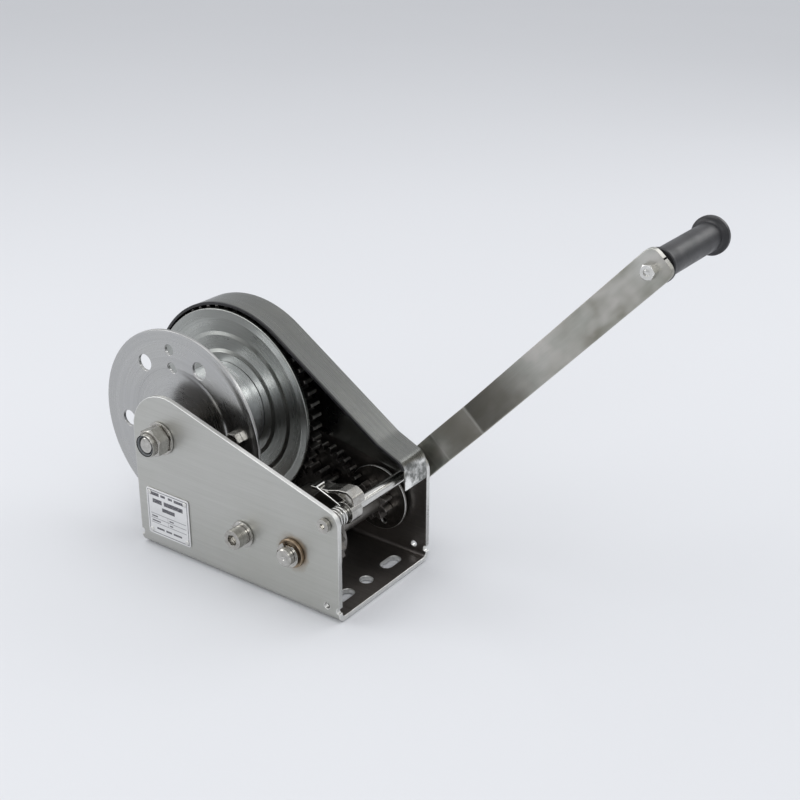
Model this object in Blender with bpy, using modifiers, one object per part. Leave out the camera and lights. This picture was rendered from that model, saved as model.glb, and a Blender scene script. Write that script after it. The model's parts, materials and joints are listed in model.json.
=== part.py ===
"""Two-stage hand winch for a boat trailer, with an automatic brake pack and a ratchet pawl.

Metres, +Z up. The origin is the centre of the underside of the base. +X is the open front
end, +Y is the crank side. Every shaft runs along Y. Sizes below are in millimetres.
"""

from math import acos, atan2, cos, pi, radians, sin, tan

import bmesh
import bpy
from mathutils import Matrix, Vector

MM = 0.001
GAP = 0.3  # clearance kept between pieces that touch in the real winch

# ---- frame -------------------------------------------------------------------------------
BASE_LENGTH = 200.0
FRAME_WIDTH = 113.0
SHEET = 4.0
BEND_OUTER = 7.0
BEND_INNER = BEND_OUTER - SHEET
LOBE_X, LOBE_Z, LOBE_R = -66.0, 101.0, 34.0
FRONT_CORNER_R = 12.0
TOP_SLOPE = radians(16.5)
HALF_W = FRAME_WIDTH / 2
INNER_W = HALF_W - SHEET

# ---- gears -------------------------------------------------------------------------------
PRESSURE = radians(20.0)
TOOTH_THINNING = 0.22
DRUM_TEETH, SMALL_TEETH, FINAL_MODULE, FINAL_SHIFT = 53, 12, 3.0, 0.35
BIG_TEETH, CRANK_TEETH, FIRST_MODULE, FIRST_SHIFT = 28, 10, 2.5, 0.45
FINAL_CENTRES = FINAL_MODULE * (DRUM_TEETH + SMALL_TEETH) / 2
FIRST_CENTRES = FIRST_MODULE * (BIG_TEETH + CRANK_TEETH) / 2

# ---- shaft axes in the XZ plane ----------------------------------------------------------
DRUM_X, DRUM_Z = -70.0, 100.5
MESH_1 = radians(-35.1)  # direction from the drum axis to the intermediate axis
MESH_2 = radians(1.0)  # direction from the intermediate axis to the crank axis
MID_X = DRUM_X + FINAL_CENTRES * cos(MESH_1)
MID_Z = DRUM_Z + FINAL_CENTRES * sin(MESH_1)
CRANK_X = MID_X + FIRST_CENTRES * cos(MESH_2)
CRANK_Z = MID_Z + FIRST_CENTRES * sin(MESH_2)
ROD_X, ROD_Z, ROD_R = 88.7, 78.7, 4.6

# ---- drum --------------------------------------------------------------------------------
FLANGE_R = 79.8
BARREL_R, BARREL_WALL = 37.0, 3.0
NEAR_FLANGE_Y, FAR_FLANGE_Y = (-33.8, -31.0), (21.5, 24.0)
HUB_TUBE_R = 11.0
FLANGE_HOLE_RING = 58.0
FLANGE_HOLE_START = radians(7.0)
DRUM_GEAR_Y = (26.5, 36.5)

# ---- gear cover --------------------------------------------------------------------------
COVER_R, COVER_SHEET = 84.2, 1.6
COVER_Y = (25.2, INNER_W - GAP)
COVER_FRONT_X, COVER_FRONT_END = 99.5, 73.0

# ---- crank shaft stack -------------------------------------------------------------------
BRAKE_R, LINING_R = 22.5, 21.5
RATCHET_TEETH, RATCHET_TIP, RATCHET_ROOT = 24, 27.5, 24.0
RATCHET_Y = (-33.1, -27.9)
THRUST_DISC_R = 27.0
JOURNAL_R, THREAD_R, SLEEVE_R = 7.0, 5.8, 9.0

# ---- crank arm and grip ------------------------------------------------------------------
ARM_LENGTH, ARM_ANGLE = 297.0, radians(47.5)
ARM_WIDTH, ARM_THICK, ARM_JOGGLE = 25.0, 5.0, 8.0
ARM_Y = 66.5
JOGGLE_AT = (64.0, 102.0)
GRIP_R, GRIP_FLANGE_R, GRIP_LENGTH = 10.6, 14.5, 90.0

PAWL_ANGLE = 87.0  # place on the ratchet, in degrees from +X, where the pawl engages


def clear_scene():
    for obj in list(bpy.data.objects):
        bpy.data.objects.remove(obj, do_unlink=True)


def collection(name):
    made = bpy.data.collections.new(name)
    bpy.context.scene.collection.children.link(made)
    return made


def material(name, colour, metallic, roughness):
    made = bpy.data.materials.new(name)
    made.use_nodes = True
    shader = made.node_tree.nodes["Principled BSDF"]
    shader.inputs["Base Color"].default_value = (*colour, 1.0)
    shader.inputs["Metallic"].default_value = metallic
    shader.inputs["Roughness"].default_value = roughness
    made.diffuse_color = (*colour, 1.0)
    return made


clear_scene()
PARTS = collection("boat_trailer_winch")
CUTTERS = collection("cutters")
CUTTERS.hide_render = True

STEEL = material("brushed_stainless", (0.62, 0.62, 0.60), 1.0, 0.32)
COVER_STEEL = material("cover_stainless", (0.50, 0.51, 0.50), 1.0, 0.35)
DRUM_STEEL = material("drum_stainless", (0.58, 0.59, 0.57), 1.0, 0.25)
BRIGHT = material("bright_steel", (0.72, 0.72, 0.71), 1.0, 0.15)
FASTENER = material("fastener_steel", (0.66, 0.66, 0.64), 1.0, 0.22)
GEAR_STEEL = material("gear_dark_steel", (0.10, 0.10, 0.11), 1.0, 0.45)
DISC_STEEL = material("disc_dark_steel", (0.28, 0.27, 0.26), 1.0, 0.35)
LINING = material("friction_lining", (0.12, 0.09, 0.07), 0.0, 0.85)
BRONZE = material("bronze", (0.48, 0.34, 0.20), 1.0, 0.4)
PLATE = material("name_plate_aluminium", (0.78, 0.79, 0.80), 1.0, 0.4)
RUBBER = material("black_grip", (0.02, 0.02, 0.025), 0.0, 0.55)


# ---- outlines in the XZ plane, as lists of (x, z) ----------------------------------------


def arc(cx, cz, r, start, end, steps):
    """Points on a circle from start to end, in radians, both ends included."""
    angles = (start + (end - start) * i / steps for i in range(steps + 1))
    return [(cx + r * cos(a), cz + r * sin(a)) for a in angles]


def ring(cx, cz, r, steps=16):
    return arc(cx, cz, r, 0.0, 2 * pi, steps)[:-1]


def fillet(before, corner, after, r, steps=5):
    """The points of a round of radius r that replaces a corner."""
    a = (Vector(before) - Vector(corner)).normalized()
    b = (Vector(after) - Vector(corner)).normalized()
    half = a.angle(b) / 2
    centre = Vector(corner) + (a + b).normalized() * (r / sin(half))
    p, q = Vector(corner) + a * (r / tan(half)), Vector(corner) + b * (r / tan(half))
    start, end = atan2(*(p - centre).yx), atan2(*(q - centre).yx)
    turn = (end - start + pi) % (2 * pi) - pi
    return arc(centre.x, centre.y, r, start, start + turn, steps)


def rounded(points, radii, steps=5):
    out = []
    for i, (point, r) in enumerate(zip(points, radii)):
        if r:
            out += fillet(points[i - 1], point, points[(i + 1) % len(points)], r, steps)
        else:
            out.append(point)
    return out


def gear_outline(module, teeth, shift, addendum, phase, parts=3):
    """Involute teeth with profile shift; one tooth centre lies at the angle phase."""
    pitch = module * teeth / 2
    base = pitch * cos(PRESSURE)
    tip, root = pitch + module * (addendum + shift), pitch - module * (1.25 - shift)
    inv = tan(PRESSURE) - PRESSURE
    half = (pi / 2 + 2 * shift * tan(PRESSURE)) / teeth - TOOTH_THINNING / (2 * pitch)

    def half_angle(r):
        a = acos(min(1.0, base / r))
        return half + inv - (tan(a) - a)

    low = max(base, root)
    radii = [low + (tip - low) * k / parts for k in range(parts + 1)]
    flank = [(r, half_angle(r)) for r in radii]
    if root < base - 0.5:
        flank.insert(0, (root, half_angle(base)))
    side = [(r, -a) for r, a in flank] + [(r, a) for r, a in reversed(flank)]
    return [
        (r * cos(phase + 2 * pi * k / teeth + a), r * sin(phase + 2 * pi * k / teeth + a))
        for k in range(teeth)
        for r, a in side
    ]


def hexagon(across_flats, phase=0.0):
    r = across_flats / 2 / cos(pi / 6)
    return [(r * cos(phase + pi / 3 * k), r * sin(phase + pi / 3 * k)) for k in range(6)]


# ---- solids ------------------------------------------------------------------------------


def place(obj, surface, at, parent=None, cutter=False):
    """Moves an object to (x, z) on its shaft axis, links it, and hangs it on its body's empty."""
    (CUTTERS if cutter else PARTS).objects.link(obj)
    obj.location = (at[0] * MM, 0.0, at[1] * MM)
    if cutter:
        obj.hide_render = True
        obj.display_type = "WIRE"
    else:
        obj.data.materials.append(surface)
    if parent:
        obj.parent = parent
        obj.matrix_parent_inverse = Matrix.Translation(-parent.location)
    return obj


def body_empty(name, at):
    made = bpy.data.objects.new(name, None)
    made.empty_display_size = 0.02
    made.location = (at[0] * MM, 0.0, at[1] * MM)
    PARTS.objects.link(made)
    return made


def plate_mesh(name, outlines, y0, y1):
    """A flat piece: its outlines lie in XZ, the first outside and the others holes."""
    curve = bpy.data.curves.new(name, "CURVE")
    curve.dimensions = "2D"
    curve.fill_mode = "BOTH"
    curve.extrude = (y1 - y0) / 2 * MM
    for outline in outlines:
        spline = curve.splines.new("POLY")
        spline.points.add(len(outline) - 1)
        for point, (x, z) in zip(spline.points, outline):
            point.co = (x * MM, z * MM, 0.0, 1.0)
        spline.use_cyclic_u = True
    holder = bpy.data.objects.new(name + "_curve", curve)
    mesh = bpy.data.meshes.new_from_object(holder)
    bpy.data.objects.remove(holder)
    bpy.data.curves.remove(curve)
    mesh.name = name
    work = bmesh.new()
    work.from_mesh(mesh)
    bmesh.ops.remove_doubles(work, verts=work.verts, dist=1e-6)
    turn = Matrix.Translation((0, (y0 + y1) / 2 * MM, 0)) @ Matrix.Rotation(pi / 2, 4, "X")
    bmesh.ops.transform(work, matrix=turn, verts=work.verts)
    bmesh.ops.recalc_face_normals(work, faces=work.faces)
    work.to_mesh(mesh)
    work.free()
    return mesh


def flat(name, surface, outlines, y0, y1, at=(0.0, 0.0), parent=None, bevel=0.0, cutter=False):
    obj = bpy.data.objects.new(name, plate_mesh(name, outlines, y0, y1))
    place(obj, surface, at, parent, cutter)
    if bevel:
        edge_bevel(obj, bevel)
    return obj


def turned(name, surface, profile, at=(0.0, 0.0), parent=None, steps=24, cutter=False):
    """A turned piece about Y: profile is (radius, y), closed, or open with both ends at radius 0."""
    area = sum(a[0] * b[1] - b[0] * a[1] for a, b in zip(profile, profile[1:] + profile[:1]))
    points = profile[::-1] if area > 0 else profile
    mesh = bpy.data.meshes.new(name)
    edges = [(i, i + 1) for i in range(len(points) - 1)]
    if all(r > 0 for r, _ in points):
        edges.append((len(points) - 1, 0))
    else:
        start = next(i for i, p in enumerate(points) if p[0] == 0 and points[i - 1][0] == 0)
        points = points[start:] + points[:start]
    mesh.from_pydata([(r * MM, y * MM, 0.0) for r, y in points], edges, [])
    obj = bpy.data.objects.new(name, mesh)
    place(obj, surface, at, parent, cutter)
    screw = obj.modifiers.new("turn", "SCREW")
    screw.axis = "Y"
    screw.steps = screw.render_steps = steps
    screw.use_merge_vertices = True
    screw.merge_threshold = 1e-5
    screw.use_smooth_shade = True
    return obj


def tube(r_outer, r_inner, y0, y1, edge=0.0):
    """The closed (radius, y) profile of a plain tube; edge breaks its outer edges."""
    if not edge:
        return [(r_inner, y0), (r_outer, y0), (r_outer, y1), (r_inner, y1)]
    return [
        (r_inner, y0), (r_outer - edge, y0), (r_outer, y0 + edge),
        (r_outer, y1 - edge), (r_outer - edge, y1), (r_inner, y1),
    ]


def edge_bevel(obj, width, segments=1):
    bevel = obj.modifiers.new("edge", "BEVEL")
    bevel.width = width * MM
    bevel.segments = segments
    bevel.limit_method = "ANGLE"
    bevel.angle_limit = radians(50)


def boolean(obj, other, operation="DIFFERENCE"):
    made = obj.modifiers.new(operation.lower(), "BOOLEAN")
    made.operation = operation
    made.solver = "EXACT"
    made.object = other
    return obj


def pin_cutter(name, x, z, r, y0, y1, steps=16):
    return flat(name, None, [ring(0, 0, r, steps)], y0, y1, (x, z), cutter=True)


# ---- frame -------------------------------------------------------------------------------


def side_outline():
    """The outline of both side plates: base, front edge, sloping top, and the round axle lobe."""
    half = BASE_LENGTH / 2
    lobe_top = pi / 2 - TOP_SLOPE
    touch = (LOBE_X + LOBE_R * cos(lobe_top), LOBE_Z + LOBE_R * sin(lobe_top))
    corner_z = touch[1] - (half - touch[0]) * tan(TOP_SLOPE)
    front = fillet((half, 0), (half, corner_z), touch, FRONT_CORNER_R, 6)
    return [(-half, -1.0), (half, -1.0), *front, *arc(LOBE_X, LOBE_Z, LOBE_R, lobe_top, pi, 14)]


def channel_section():
    """The (y, z) section of the folded channel."""
    b, top = BEND_OUTER, LOBE_Z + LOBE_R + 5
    near, far = -HALF_W + b, HALF_W - b
    outer = arc(near, b, BEND_OUTER, pi, 1.5 * pi, 5)
    outer += arc(far, b, BEND_OUTER, 1.5 * pi, 2 * pi, 5)
    inner = arc(far, b, BEND_INNER, 2 * pi, 1.5 * pi, 5)
    inner += arc(near, b, BEND_INNER, 1.5 * pi, pi, 5)
    return [(-HALF_W, top), *outer, (HALF_W, top), (INNER_W, top), *inner, (-INNER_W, top)]


def base_slot(name, x, y, length, width, along_y=True):
    """A cutter for one bolt slot in the base."""
    r, reach = width / 2, (length - width) / 2
    if along_y:
        outline = arc(0, reach, r, 0, pi, 8) + arc(0, -reach, r, pi, 2 * pi, 8)
    else:
        outline = arc(reach, 0, r, -pi / 2, pi / 2, 8) + arc(-reach, 0, r, pi / 2, 1.5 * pi, 8)
    cutter = flat(name, None, [outline], -10.0, 10.0, cutter=True)
    cutter.rotation_euler.x = -pi / 2
    cutter.location = (x * MM, y * MM, 0.0)
    return cutter


BASE_SLOTS = (
    ("slot_front_far", 82.6, 29.5, 20.0, 10.0),
    ("slot_front_near", 82.6, -29.5, 20.0, 10.0),
    ("slot_rear_far", -80.0, 29.5, 20.0, 10.0),
    ("slot_rear_near", -80.0, -29.5, 20.0, 10.0),
    ("hole_front", 83.0, -2.0, 10.4, 10.0),
    ("hole_rear", -80.0, 0.0, 10.4, 10.0),
)
COVER_RIVETS = ((78.0, 85.0), (-20.0, 108.0), (-90.0, 84.0))
PLATE_MARKS = ((88.5, 11.5),)


def build_frame():
    half = BASE_LENGTH / 2
    channel = flat("frame_channel", STEEL, [channel_section()], -half, half)
    turn = Matrix.Rotation(pi / 2, 4, "Z")
    channel.data.transform(turn)
    profile = flat("side_profile", None, [side_outline()], -80.0, 80.0, cutter=True)
    boolean(channel, profile, "INTERSECT")
    cutters = [base_slot(*slot) for slot in BASE_SLOTS]
    near, far = (-HALF_W - 4, -INNER_W + 4), (INNER_W - 4, HALF_W + 4)
    for x, z, r, sides in (
        (DRUM_X, DRUM_Z, 7.1, (near, far)),
        (MID_X, MID_Z, 5.3, (near, far)),
        (CRANK_X, CRANK_Z, 10.0, (near,)),
        (CRANK_X, CRANK_Z, 10.0, (far,)),
        (ROD_X, ROD_Z, 3.4, (near, far)),
        *((x, z, 2.4, (far,)) for x, z in COVER_RIVETS),
        *((x, z, 2.4, (far, near)) for x, z in PLATE_MARKS),
    ):
        cutters += [pin_cutter("bore", x, z, r, *side) for side in sides]
    for sx in (-1, 1):
        cutters += [pin_cutter("relief", sx * half, 9.5, 2.4, *side, steps=12) for side in (near, far)]
    for x, z in PLATE_RIVET_PLACES:
        cutters.append(pin_cutter("plate_rivet_bore", x, z, 1.3, *near, steps=12))
    for cutter in cutters:
        boolean(channel, cutter)
    return channel


NAME_PLATE = (-90.5, -45.5, 13.0, 53.5)
PLATE_RIVET_PLACES = tuple(
    (x, z)
    for x in (NAME_PLATE[0] + 3.5, NAME_PLATE[1] - 3.5)
    for z in (NAME_PLATE[2] + 3.5, NAME_PLATE[3] - 3.5)
)


def rivet_profile(r_shank, r_head, y_face, y_end, head):
    """A domed rivet: its head stands on y_face, its shank runs to y_end."""
    way = 1 if y_end > y_face else -1
    dome = [
        (r_head * sin(a), y_face - way * (0.1 + head * cos(a)))
        for a in (pi / 2 * k / 4 for k in range(1, 5))
    ]
    shank = [(r_shank, y_face - way * 0.1), (r_shank, y_end), (0, y_end)]
    return [(0, y_face - way * (0.1 + head))] + dome + shank


def build_name_plate():
    x0, x1, z0, z1 = NAME_PLATE
    box = rounded([(x0, z0), (x1, z0), (x1, z1), (x0, z1)], [2.0] * 4, 3)
    holes = [ring(x, z, 1.4, 12) for x, z in PLATE_RIVET_PLACES]
    flat("name_plate", PLATE, [box, *holes], -HALF_W - 0.2 - 0.8, -HALF_W - 0.2)
    for i, (x, z) in enumerate(PLATE_RIVET_PLACES, 1):
        profile = rivet_profile(1.1, 2.2, -HALF_W - 1.1, -INNER_W - 0.5, 1.1)
        turned(f"name_plate_rivet_{i}", FASTENER, profile, (x, z), steps=12)


# ---- gear cover --------------------------------------------------------------------------


def cover_outline(inset, lower):
    """The outline of the cover, moved inwards by inset; lower closes it below."""
    r = COVER_R - inset
    slope = atan2(0.66, 1.0)
    top = pi / 2 - slope
    curve = arc(DRUM_X, DRUM_Z, r, radians(200), top, 36)
    off = Vector((sin(slope), cos(slope))) * -inset
    bend = (74.0 + off.x, 105.4 + off.y)
    corner = (COVER_FRONT_X - inset, 94.0 - inset)
    end = (COVER_FRONT_X - inset, COVER_FRONT_END)
    run = fillet(curve[-1], bend, corner, 30.0, 4) + fillet(bend, corner, end, 12.0 - inset, 6)
    return curve + run + lower(inset)


def cover_lower(_):
    return [(COVER_FRONT_X, COVER_FRONT_END), (-40.0, 92.0), (-62.0, 71.8)]


def cover_lower_cut(inset):
    return [(COVER_FRONT_X - inset, 60.0), (-40.0, 60.0), (DRUM_X - 70.0, 60.0), (-152.0, 60.0)]


def build_cover_trim():
    """The black strip along the open edge of the cover, over the drum and down the slope."""
    strip = cover_outline(-0.2, lambda _: [])[:-8]
    inner = cover_outline(COVER_SHEET + 0.6, lambda _: [])[:-8]
    flat("cover_edge_trim", RUBBER, [strip + inner[::-1]], COVER_Y[0] - 1.9, COVER_Y[0] - GAP)


def build_cover():
    outside = cover_outline(0.0, cover_lower)
    cover = flat("gear_cover", COVER_STEEL, [outside], *COVER_Y)
    inside = cover_outline(COVER_SHEET, cover_lower_cut)
    depth = (COVER_Y[0] - 5, COVER_Y[1] - COVER_SHEET)
    boolean(cover, flat("cover_hollow", None, [inside], *depth, cutter=True))
    wall = (COVER_Y[1] - 6, COVER_Y[1] + 6)
    boolean(cover, pin_cutter("cover_axle_hole", DRUM_X, DRUM_Z, 7.5, *wall))
    boolean(cover, pin_cutter("cover_rod_hole", ROD_X, ROD_Z, ROD_R + 0.5, *wall))
    build_cover_trim()
    for i, (x, z) in enumerate(COVER_RIVETS, 1):
        boolean(cover, pin_cutter("cover_rivet_hole", x, z, 2.4, *wall))
        profile = rivet_profile(2.1, 4.2, HALF_W + 0.2, COVER_Y[1] - COVER_SHEET - 0.6, 2.0)
        turned(f"cover_rivet_{i}", FASTENER, profile, (x, z), steps=16)


# ---- fixed axles, spacers and the tie rod ------------------------------------------------


def bolt_mesh(name, surface, head_flats, head_y, shank_r, shank_end, at, parent=None, socket=0.0):
    """A hexagon or socket-head bolt along Y."""
    way = 1 if shank_end > head_y[1] else -1
    tip = shank_end - way * 1.0
    shank = [
        (0, head_y[1] - way * 2.0), (shank_r, head_y[1] - way * 2.0), (shank_r, tip),
        (shank_r - 1.0, shank_end), (0, shank_end),
    ]
    bolt = turned(name, surface, shank, at, parent, steps=24)
    lo, hi = sorted(head_y)
    if socket:
        head = turned(name + "_head", None, [
            (0, lo), (head_flats / 2 - 0.8, lo), (head_flats / 2, lo + 0.8),
            (head_flats / 2, hi), (0, hi)], at, steps=28, cutter=True)
        boolean(bolt, head, "UNION")
        deep = (lo - 5, lo + 4.5) if way > 0 else (hi - 4.5, hi + 5)
        boolean(bolt, flat(name + "_socket", None, [hexagon(socket)], *deep, at, cutter=True))
    else:
        boolean(bolt, hex_head(name + "_head", head_flats, lo, hi, at, way > 0), "UNION")
    return bolt


def crown(name, flats, lo, hi, at, low=True, high=True):
    """The turned solid that rounds off the corners of a hexagon at its low end, its high end, or both."""
    r = flats / 2 / cos(pi / 6)
    start = [(r - 3.0, lo - 1), (r + 0.2, lo + 1)] if low else [(r + 0.2, lo - 1)]
    end = [(r + 0.2, hi - 1), (r - 3.0, hi + 1)] if high else [(r + 0.2, hi + 1)]
    profile = [(0, lo - 1), *start, *end, (0, hi + 1)]
    return turned(name, None, profile, at, steps=18, cutter=True)


def hex_head(name, flats, lo, hi, at, crown_low):
    head = flat(name, None, [hexagon(flats, radians(12))], lo, hi, at, cutter=True)
    rounding = crown(name + "_crown", flats, lo, hi, at, crown_low, not crown_low)
    return boolean(head, rounding, "INTERSECT")


def nut(name, surface, flats, bore, lo, hi, at, parent=None, collar=0.0, collar_low=True):
    """A hexagon nut; a collar makes it the self-locking kind."""
    y0, y1 = (lo + collar, hi) if collar_low else (lo, hi - collar)
    outline = [hexagon(flats, radians(8)), ring(0, 0, bore, 16)]
    obj = flat(name, surface, outline, y0, y1, at, parent)
    boolean(obj, crown(name + "_crown", flats, y0, y1, at), "INTERSECT")
    if collar:
        span = (lo, y0 + 1.5) if collar_low else (y1 - 1.5, hi)
        profile = tube(flats / 2 - 0.9, bore + 0.2, *span, 1.0)
        boolean(obj, turned(name + "_collar", None, profile, at, steps=20, cutter=True), "UNION")
    return obj


def build_fixed_axles():
    drum, mid, rod = (DRUM_X, DRUM_Z), (MID_X, MID_Z), (ROD_X, ROD_Z)
    out = HALF_W + GAP
    bolt_mesh("drum_axle_bolt", FASTENER, 21.0, (out + 9.2, out + 1.8), 6.8, -73.2, drum)
    turned("drum_axle_washer_far", FASTENER, tube(13.0, 7.1, out, out + 1.5), drum)
    turned("drum_axle_washer_near", FASTENER, tube(13.2, 7.1, -out - 1.6, -out), drum)
    nut("drum_axle_nut", FASTENER, 21.0, 7.1, -out - 17.2, -out - 1.9, drum, collar=4.4)
    turned("drum_spacer_near", FASTENER, tube(10.0, 7.1, -INNER_W + GAP, -36.3), drum)
    turned("drum_spacer_far", FASTENER, tube(10.0, 7.1, 39.0, COVER_Y[1] - COVER_SHEET - GAP), drum)
    head = (-out - 12.2, -out - 2.0)
    bolt_mesh("intermediate_axle_bolt", FASTENER, 15.6, head, 5.0, 65.8, mid, socket=8.0)
    turned("intermediate_washer_near", FASTENER, tube(10.4, 5.4, -out - 1.7, -out), mid)
    turned("intermediate_washer_far", FASTENER, tube(9.0, 5.4, out, out + 1.2), mid)
    span = (out + 1.5, out + 8.2)
    nut("intermediate_axle_nut", FASTENER, 16.0, 5.3, *span, mid, collar=1.8, collar_low=False)
    turned("intermediate_spacer_near", DISC_STEEL, tube(7.6, 5.4, -INNER_W + GAP, 25.2), mid)
    turned("intermediate_spacer_far", DISC_STEEL, tube(8.0, 5.4, 47.4, INNER_W - GAP), mid)
    tapped = [
        (0, -34.0), (3.3, -36.0), (3.3, -INNER_W + GAP), (ROD_R - 0.5, -INNER_W + GAP),
        (ROD_R, -INNER_W + GAP + 0.5), (ROD_R, INNER_W - GAP - 0.5), (ROD_R - 0.5, INNER_W - GAP),
        (3.3, INNER_W - GAP), (3.3, 36.0), (0, 34.0),
    ]
    turned("tie_rod", BRIGHT, tapped, rod, steps=24)
    for side, way in (("near", -1), ("far", 1)):
        head = [
            (0, way * (HALF_W + 3.9)), (2.4, way * (HALF_W + 3.8)), (4.4, way * (HALF_W + 2.9)),
            (5.4, way * (HALF_W + 1.4)), (5.4, way * (HALF_W + GAP)), (3.0, way * (HALF_W + GAP)),
            (3.0, way * 39.0), (0, way * 39.0),
        ]
        screw = turned(f"tie_rod_screw_{side}", FASTENER, head, rod, steps=24)
        deep = sorted((way * (HALF_W + 1.6), way * (HALF_W + 9)))
        boolean(screw, flat("screw_socket", None, [hexagon(4.0)], *deep, rod, cutter=True))


# ---- drum --------------------------------------------------------------------------------


def near_flange_profile():
    y0, y1 = NEAR_FLANGE_Y
    return [
        (HUB_TUBE_R + GAP, y0), (46.0, y0), (50.0, y0 - 1.2), (73.0, y0 - 1.2),
        (FLANGE_R, y0 - 2.2), (FLANGE_R, y0 + 0.8), (73.5, y1 - 1.2), (50.5, y1 - 1.2),
        (46.5, y1), (HUB_TUBE_R + GAP, y1),
    ]


def far_flange_profile():
    y0, y1 = FAR_FLANGE_Y
    return [
        (HUB_TUBE_R + GAP, y0 - 1.6), (44.0, y0 - 1.6), (47.0, y0 - 0.4), (58.0, y0 - 0.4),
        (61.0, y0 + 0.6), (72.0, y0 + 0.6), (FLANGE_R, y0 - 0.8), (FLANGE_R, y1),
        (71.0, y1 + 0.9), (60.0, y1 + 0.9), (57.0, y1), (48.0, y1), (45.0, y1 - 0.8),
        (HUB_TUBE_R + GAP, y1 - 0.8),
    ]


def build_drum(body):
    at = (DRUM_X, DRUM_Z)
    near = turned("drum_flange_near", DRUM_STEEL, near_flange_profile(), at, body, steps=48)
    for k in range(6):
        angle = FLANGE_HOLE_START + k * pi / 3
        r = 4.2 if k == 0 else 6.6
        x, z = DRUM_X + FLANGE_HOLE_RING * cos(angle), DRUM_Z + FLANGE_HOLE_RING * sin(angle)
        boolean(near, pin_cutter("flange_hole", x, z, r, -45.0, -20.0, 16))
    for r in (63.6, 49.0):
        x, z = DRUM_X + r * cos(radians(97)), DRUM_Z + r * sin(radians(97))
        boolean(near, pin_cutter("flange_small_hole", x, z, 3.2, -45.0, -20.0, 12))
    turned("drum_flange_far", DRUM_STEEL, far_flange_profile(), at, body, steps=48)
    span = (NEAR_FLANGE_Y[1] + GAP, FAR_FLANGE_Y[0] - 1.6 - GAP)
    barrel = tube(BARREL_R, BARREL_R - BARREL_WALL, *span)
    turned("drum_barrel", BRIGHT, barrel, at, body, steps=48)
    turned("drum_hub_tube", DISC_STEEL, tube(HUB_TUBE_R, 7.1, -36.0, 38.7), at, body)
    teeth = gear_outline(FINAL_MODULE, DRUM_TEETH, -FINAL_SHIFT, 1.0, MESH_1, 2)
    outlines = [teeth, ring(0, 0, HUB_TUBE_R + GAP, 24)]
    gear = flat("drum_gear", GEAR_STEEL, outlines, *DRUM_GEAR_Y, at, body)
    boss = turned("gear_boss", None, tube(40.0, 30.0, 23.5, 28.0), at, steps=24, cutter=True)
    boolean(gear, boss, "UNION")
    hole = FLANGE_HOLE_START
    clamp = (DRUM_X + FLANGE_HOLE_RING * cos(hole), DRUM_Z + FLANGE_HOLE_RING * sin(hole))
    face = NEAR_FLANGE_Y[0] - 1.2 - GAP
    bolt_mesh("rope_clamp_bolt", FASTENER, 12.0, (face - 5.0, face), 3.8, -21.5, clamp, body)
    saddle = rounded([(-6.5, -11), (6.5, -11), (6.5, 11), (-6.5, 11)], [2.5] * 4, 3)
    inner = NEAR_FLANGE_Y[1] - 1.2 + GAP
    saddle = [saddle, ring(0, 0, 4.2, 16)]
    flat("rope_clamp_plate", FASTENER, saddle, inner, inner + 2.5, clamp, body)
    nut("rope_clamp_nut", FASTENER, 12.0, 4.1, inner + 2.8, inner + 8.6, clamp, body)


# ---- intermediate shaft ------------------------------------------------------------------


def build_intermediate(body):
    at = (MID_X, MID_Z)
    gap_phase = MESH_1 + pi + pi / SMALL_TEETH
    teeth = gear_outline(FINAL_MODULE, SMALL_TEETH, FINAL_SHIFT, 0.9, gap_phase)
    pinion = flat("intermediate_pinion", GEAR_STEEL, [teeth, ring(0, 0, 5.4, 24)], 25.6, 37.4, at, body)
    hub = turned("intermediate_hub", None, tube(9.0, 5.4, 30.0, 47.0), at, steps=24, cutter=True)
    boolean(pinion, hub, "UNION")
    teeth = gear_outline(FIRST_MODULE, BIG_TEETH, -FIRST_SHIFT, 1.0, MESH_2, 2)
    holes = [ring(20.5 * cos(k * pi / 2), 20.5 * sin(k * pi / 2), 4.5, 12) for k in range(4)]
    flat("intermediate_gear", GEAR_STEEL, [teeth, ring(0, 0, 9.3, 24), *holes], 38.0, 45.6, at, body)


# ---- crank shaft, brake pack and ratchet -------------------------------------------------


def ratchet_outline():
    """Saw teeth: a radial holding face, then a slope to the next root."""
    pitch = 2 * pi / RATCHET_TEETH
    first = radians(PAWL_ANGLE)
    out = []
    for k in range(RATCHET_TEETH):
        a = first + k * pitch
        out += [
            (RATCHET_ROOT * cos(a), RATCHET_ROOT * sin(a)),
            (RATCHET_TIP * cos(a), RATCHET_TIP * sin(a)),
            (RATCHET_TIP * cos(a + 0.05), RATCHET_TIP * sin(a + 0.05)),
        ]
    return out


def build_pinion_body(body):
    at = (CRANK_X, CRANK_Z)
    gap_phase = MESH_2 + pi + pi / CRANK_TEETH
    flange = tube(BRAKE_R, THREAD_R + GAP, -24.4, -20.4, 0.6)
    sleeve = flange[:4] + [
        (BRAKE_R - 0.6, -20.4), (SLEEVE_R + 1.5, -20.4), (SLEEVE_R, -18.9), (SLEEVE_R, 40.0),
        (THREAD_R + GAP, 40.0),
    ]
    sleeve_obj = turned("pinion_sleeve", DISC_STEEL, sleeve, at, body, steps=32)
    teeth = gear_outline(FIRST_MODULE, CRANK_TEETH, FIRST_SHIFT, 0.85, gap_phase)
    ring_in = ring(0, 0, THREAD_R + GAP, 32)
    toothed = flat("pinion_teeth", None, [teeth, ring_in], 37.5, 46.2, at, cutter=True)
    boolean(sleeve_obj, toothed, "UNION")
    disc = [ring(0, 0, THRUST_DISC_R, 48), ring(0, 0, THREAD_R + GAP, 24)]
    holes = [radians(50 + 120 * k) for k in range(3)]
    disc += [ring(19.5 * cos(a), 19.5 * sin(a), 2.4, 12) for a in holes]
    flat("thrust_disc", DISC_STEEL, disc, 46.6, 48.9, at, body)


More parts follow.
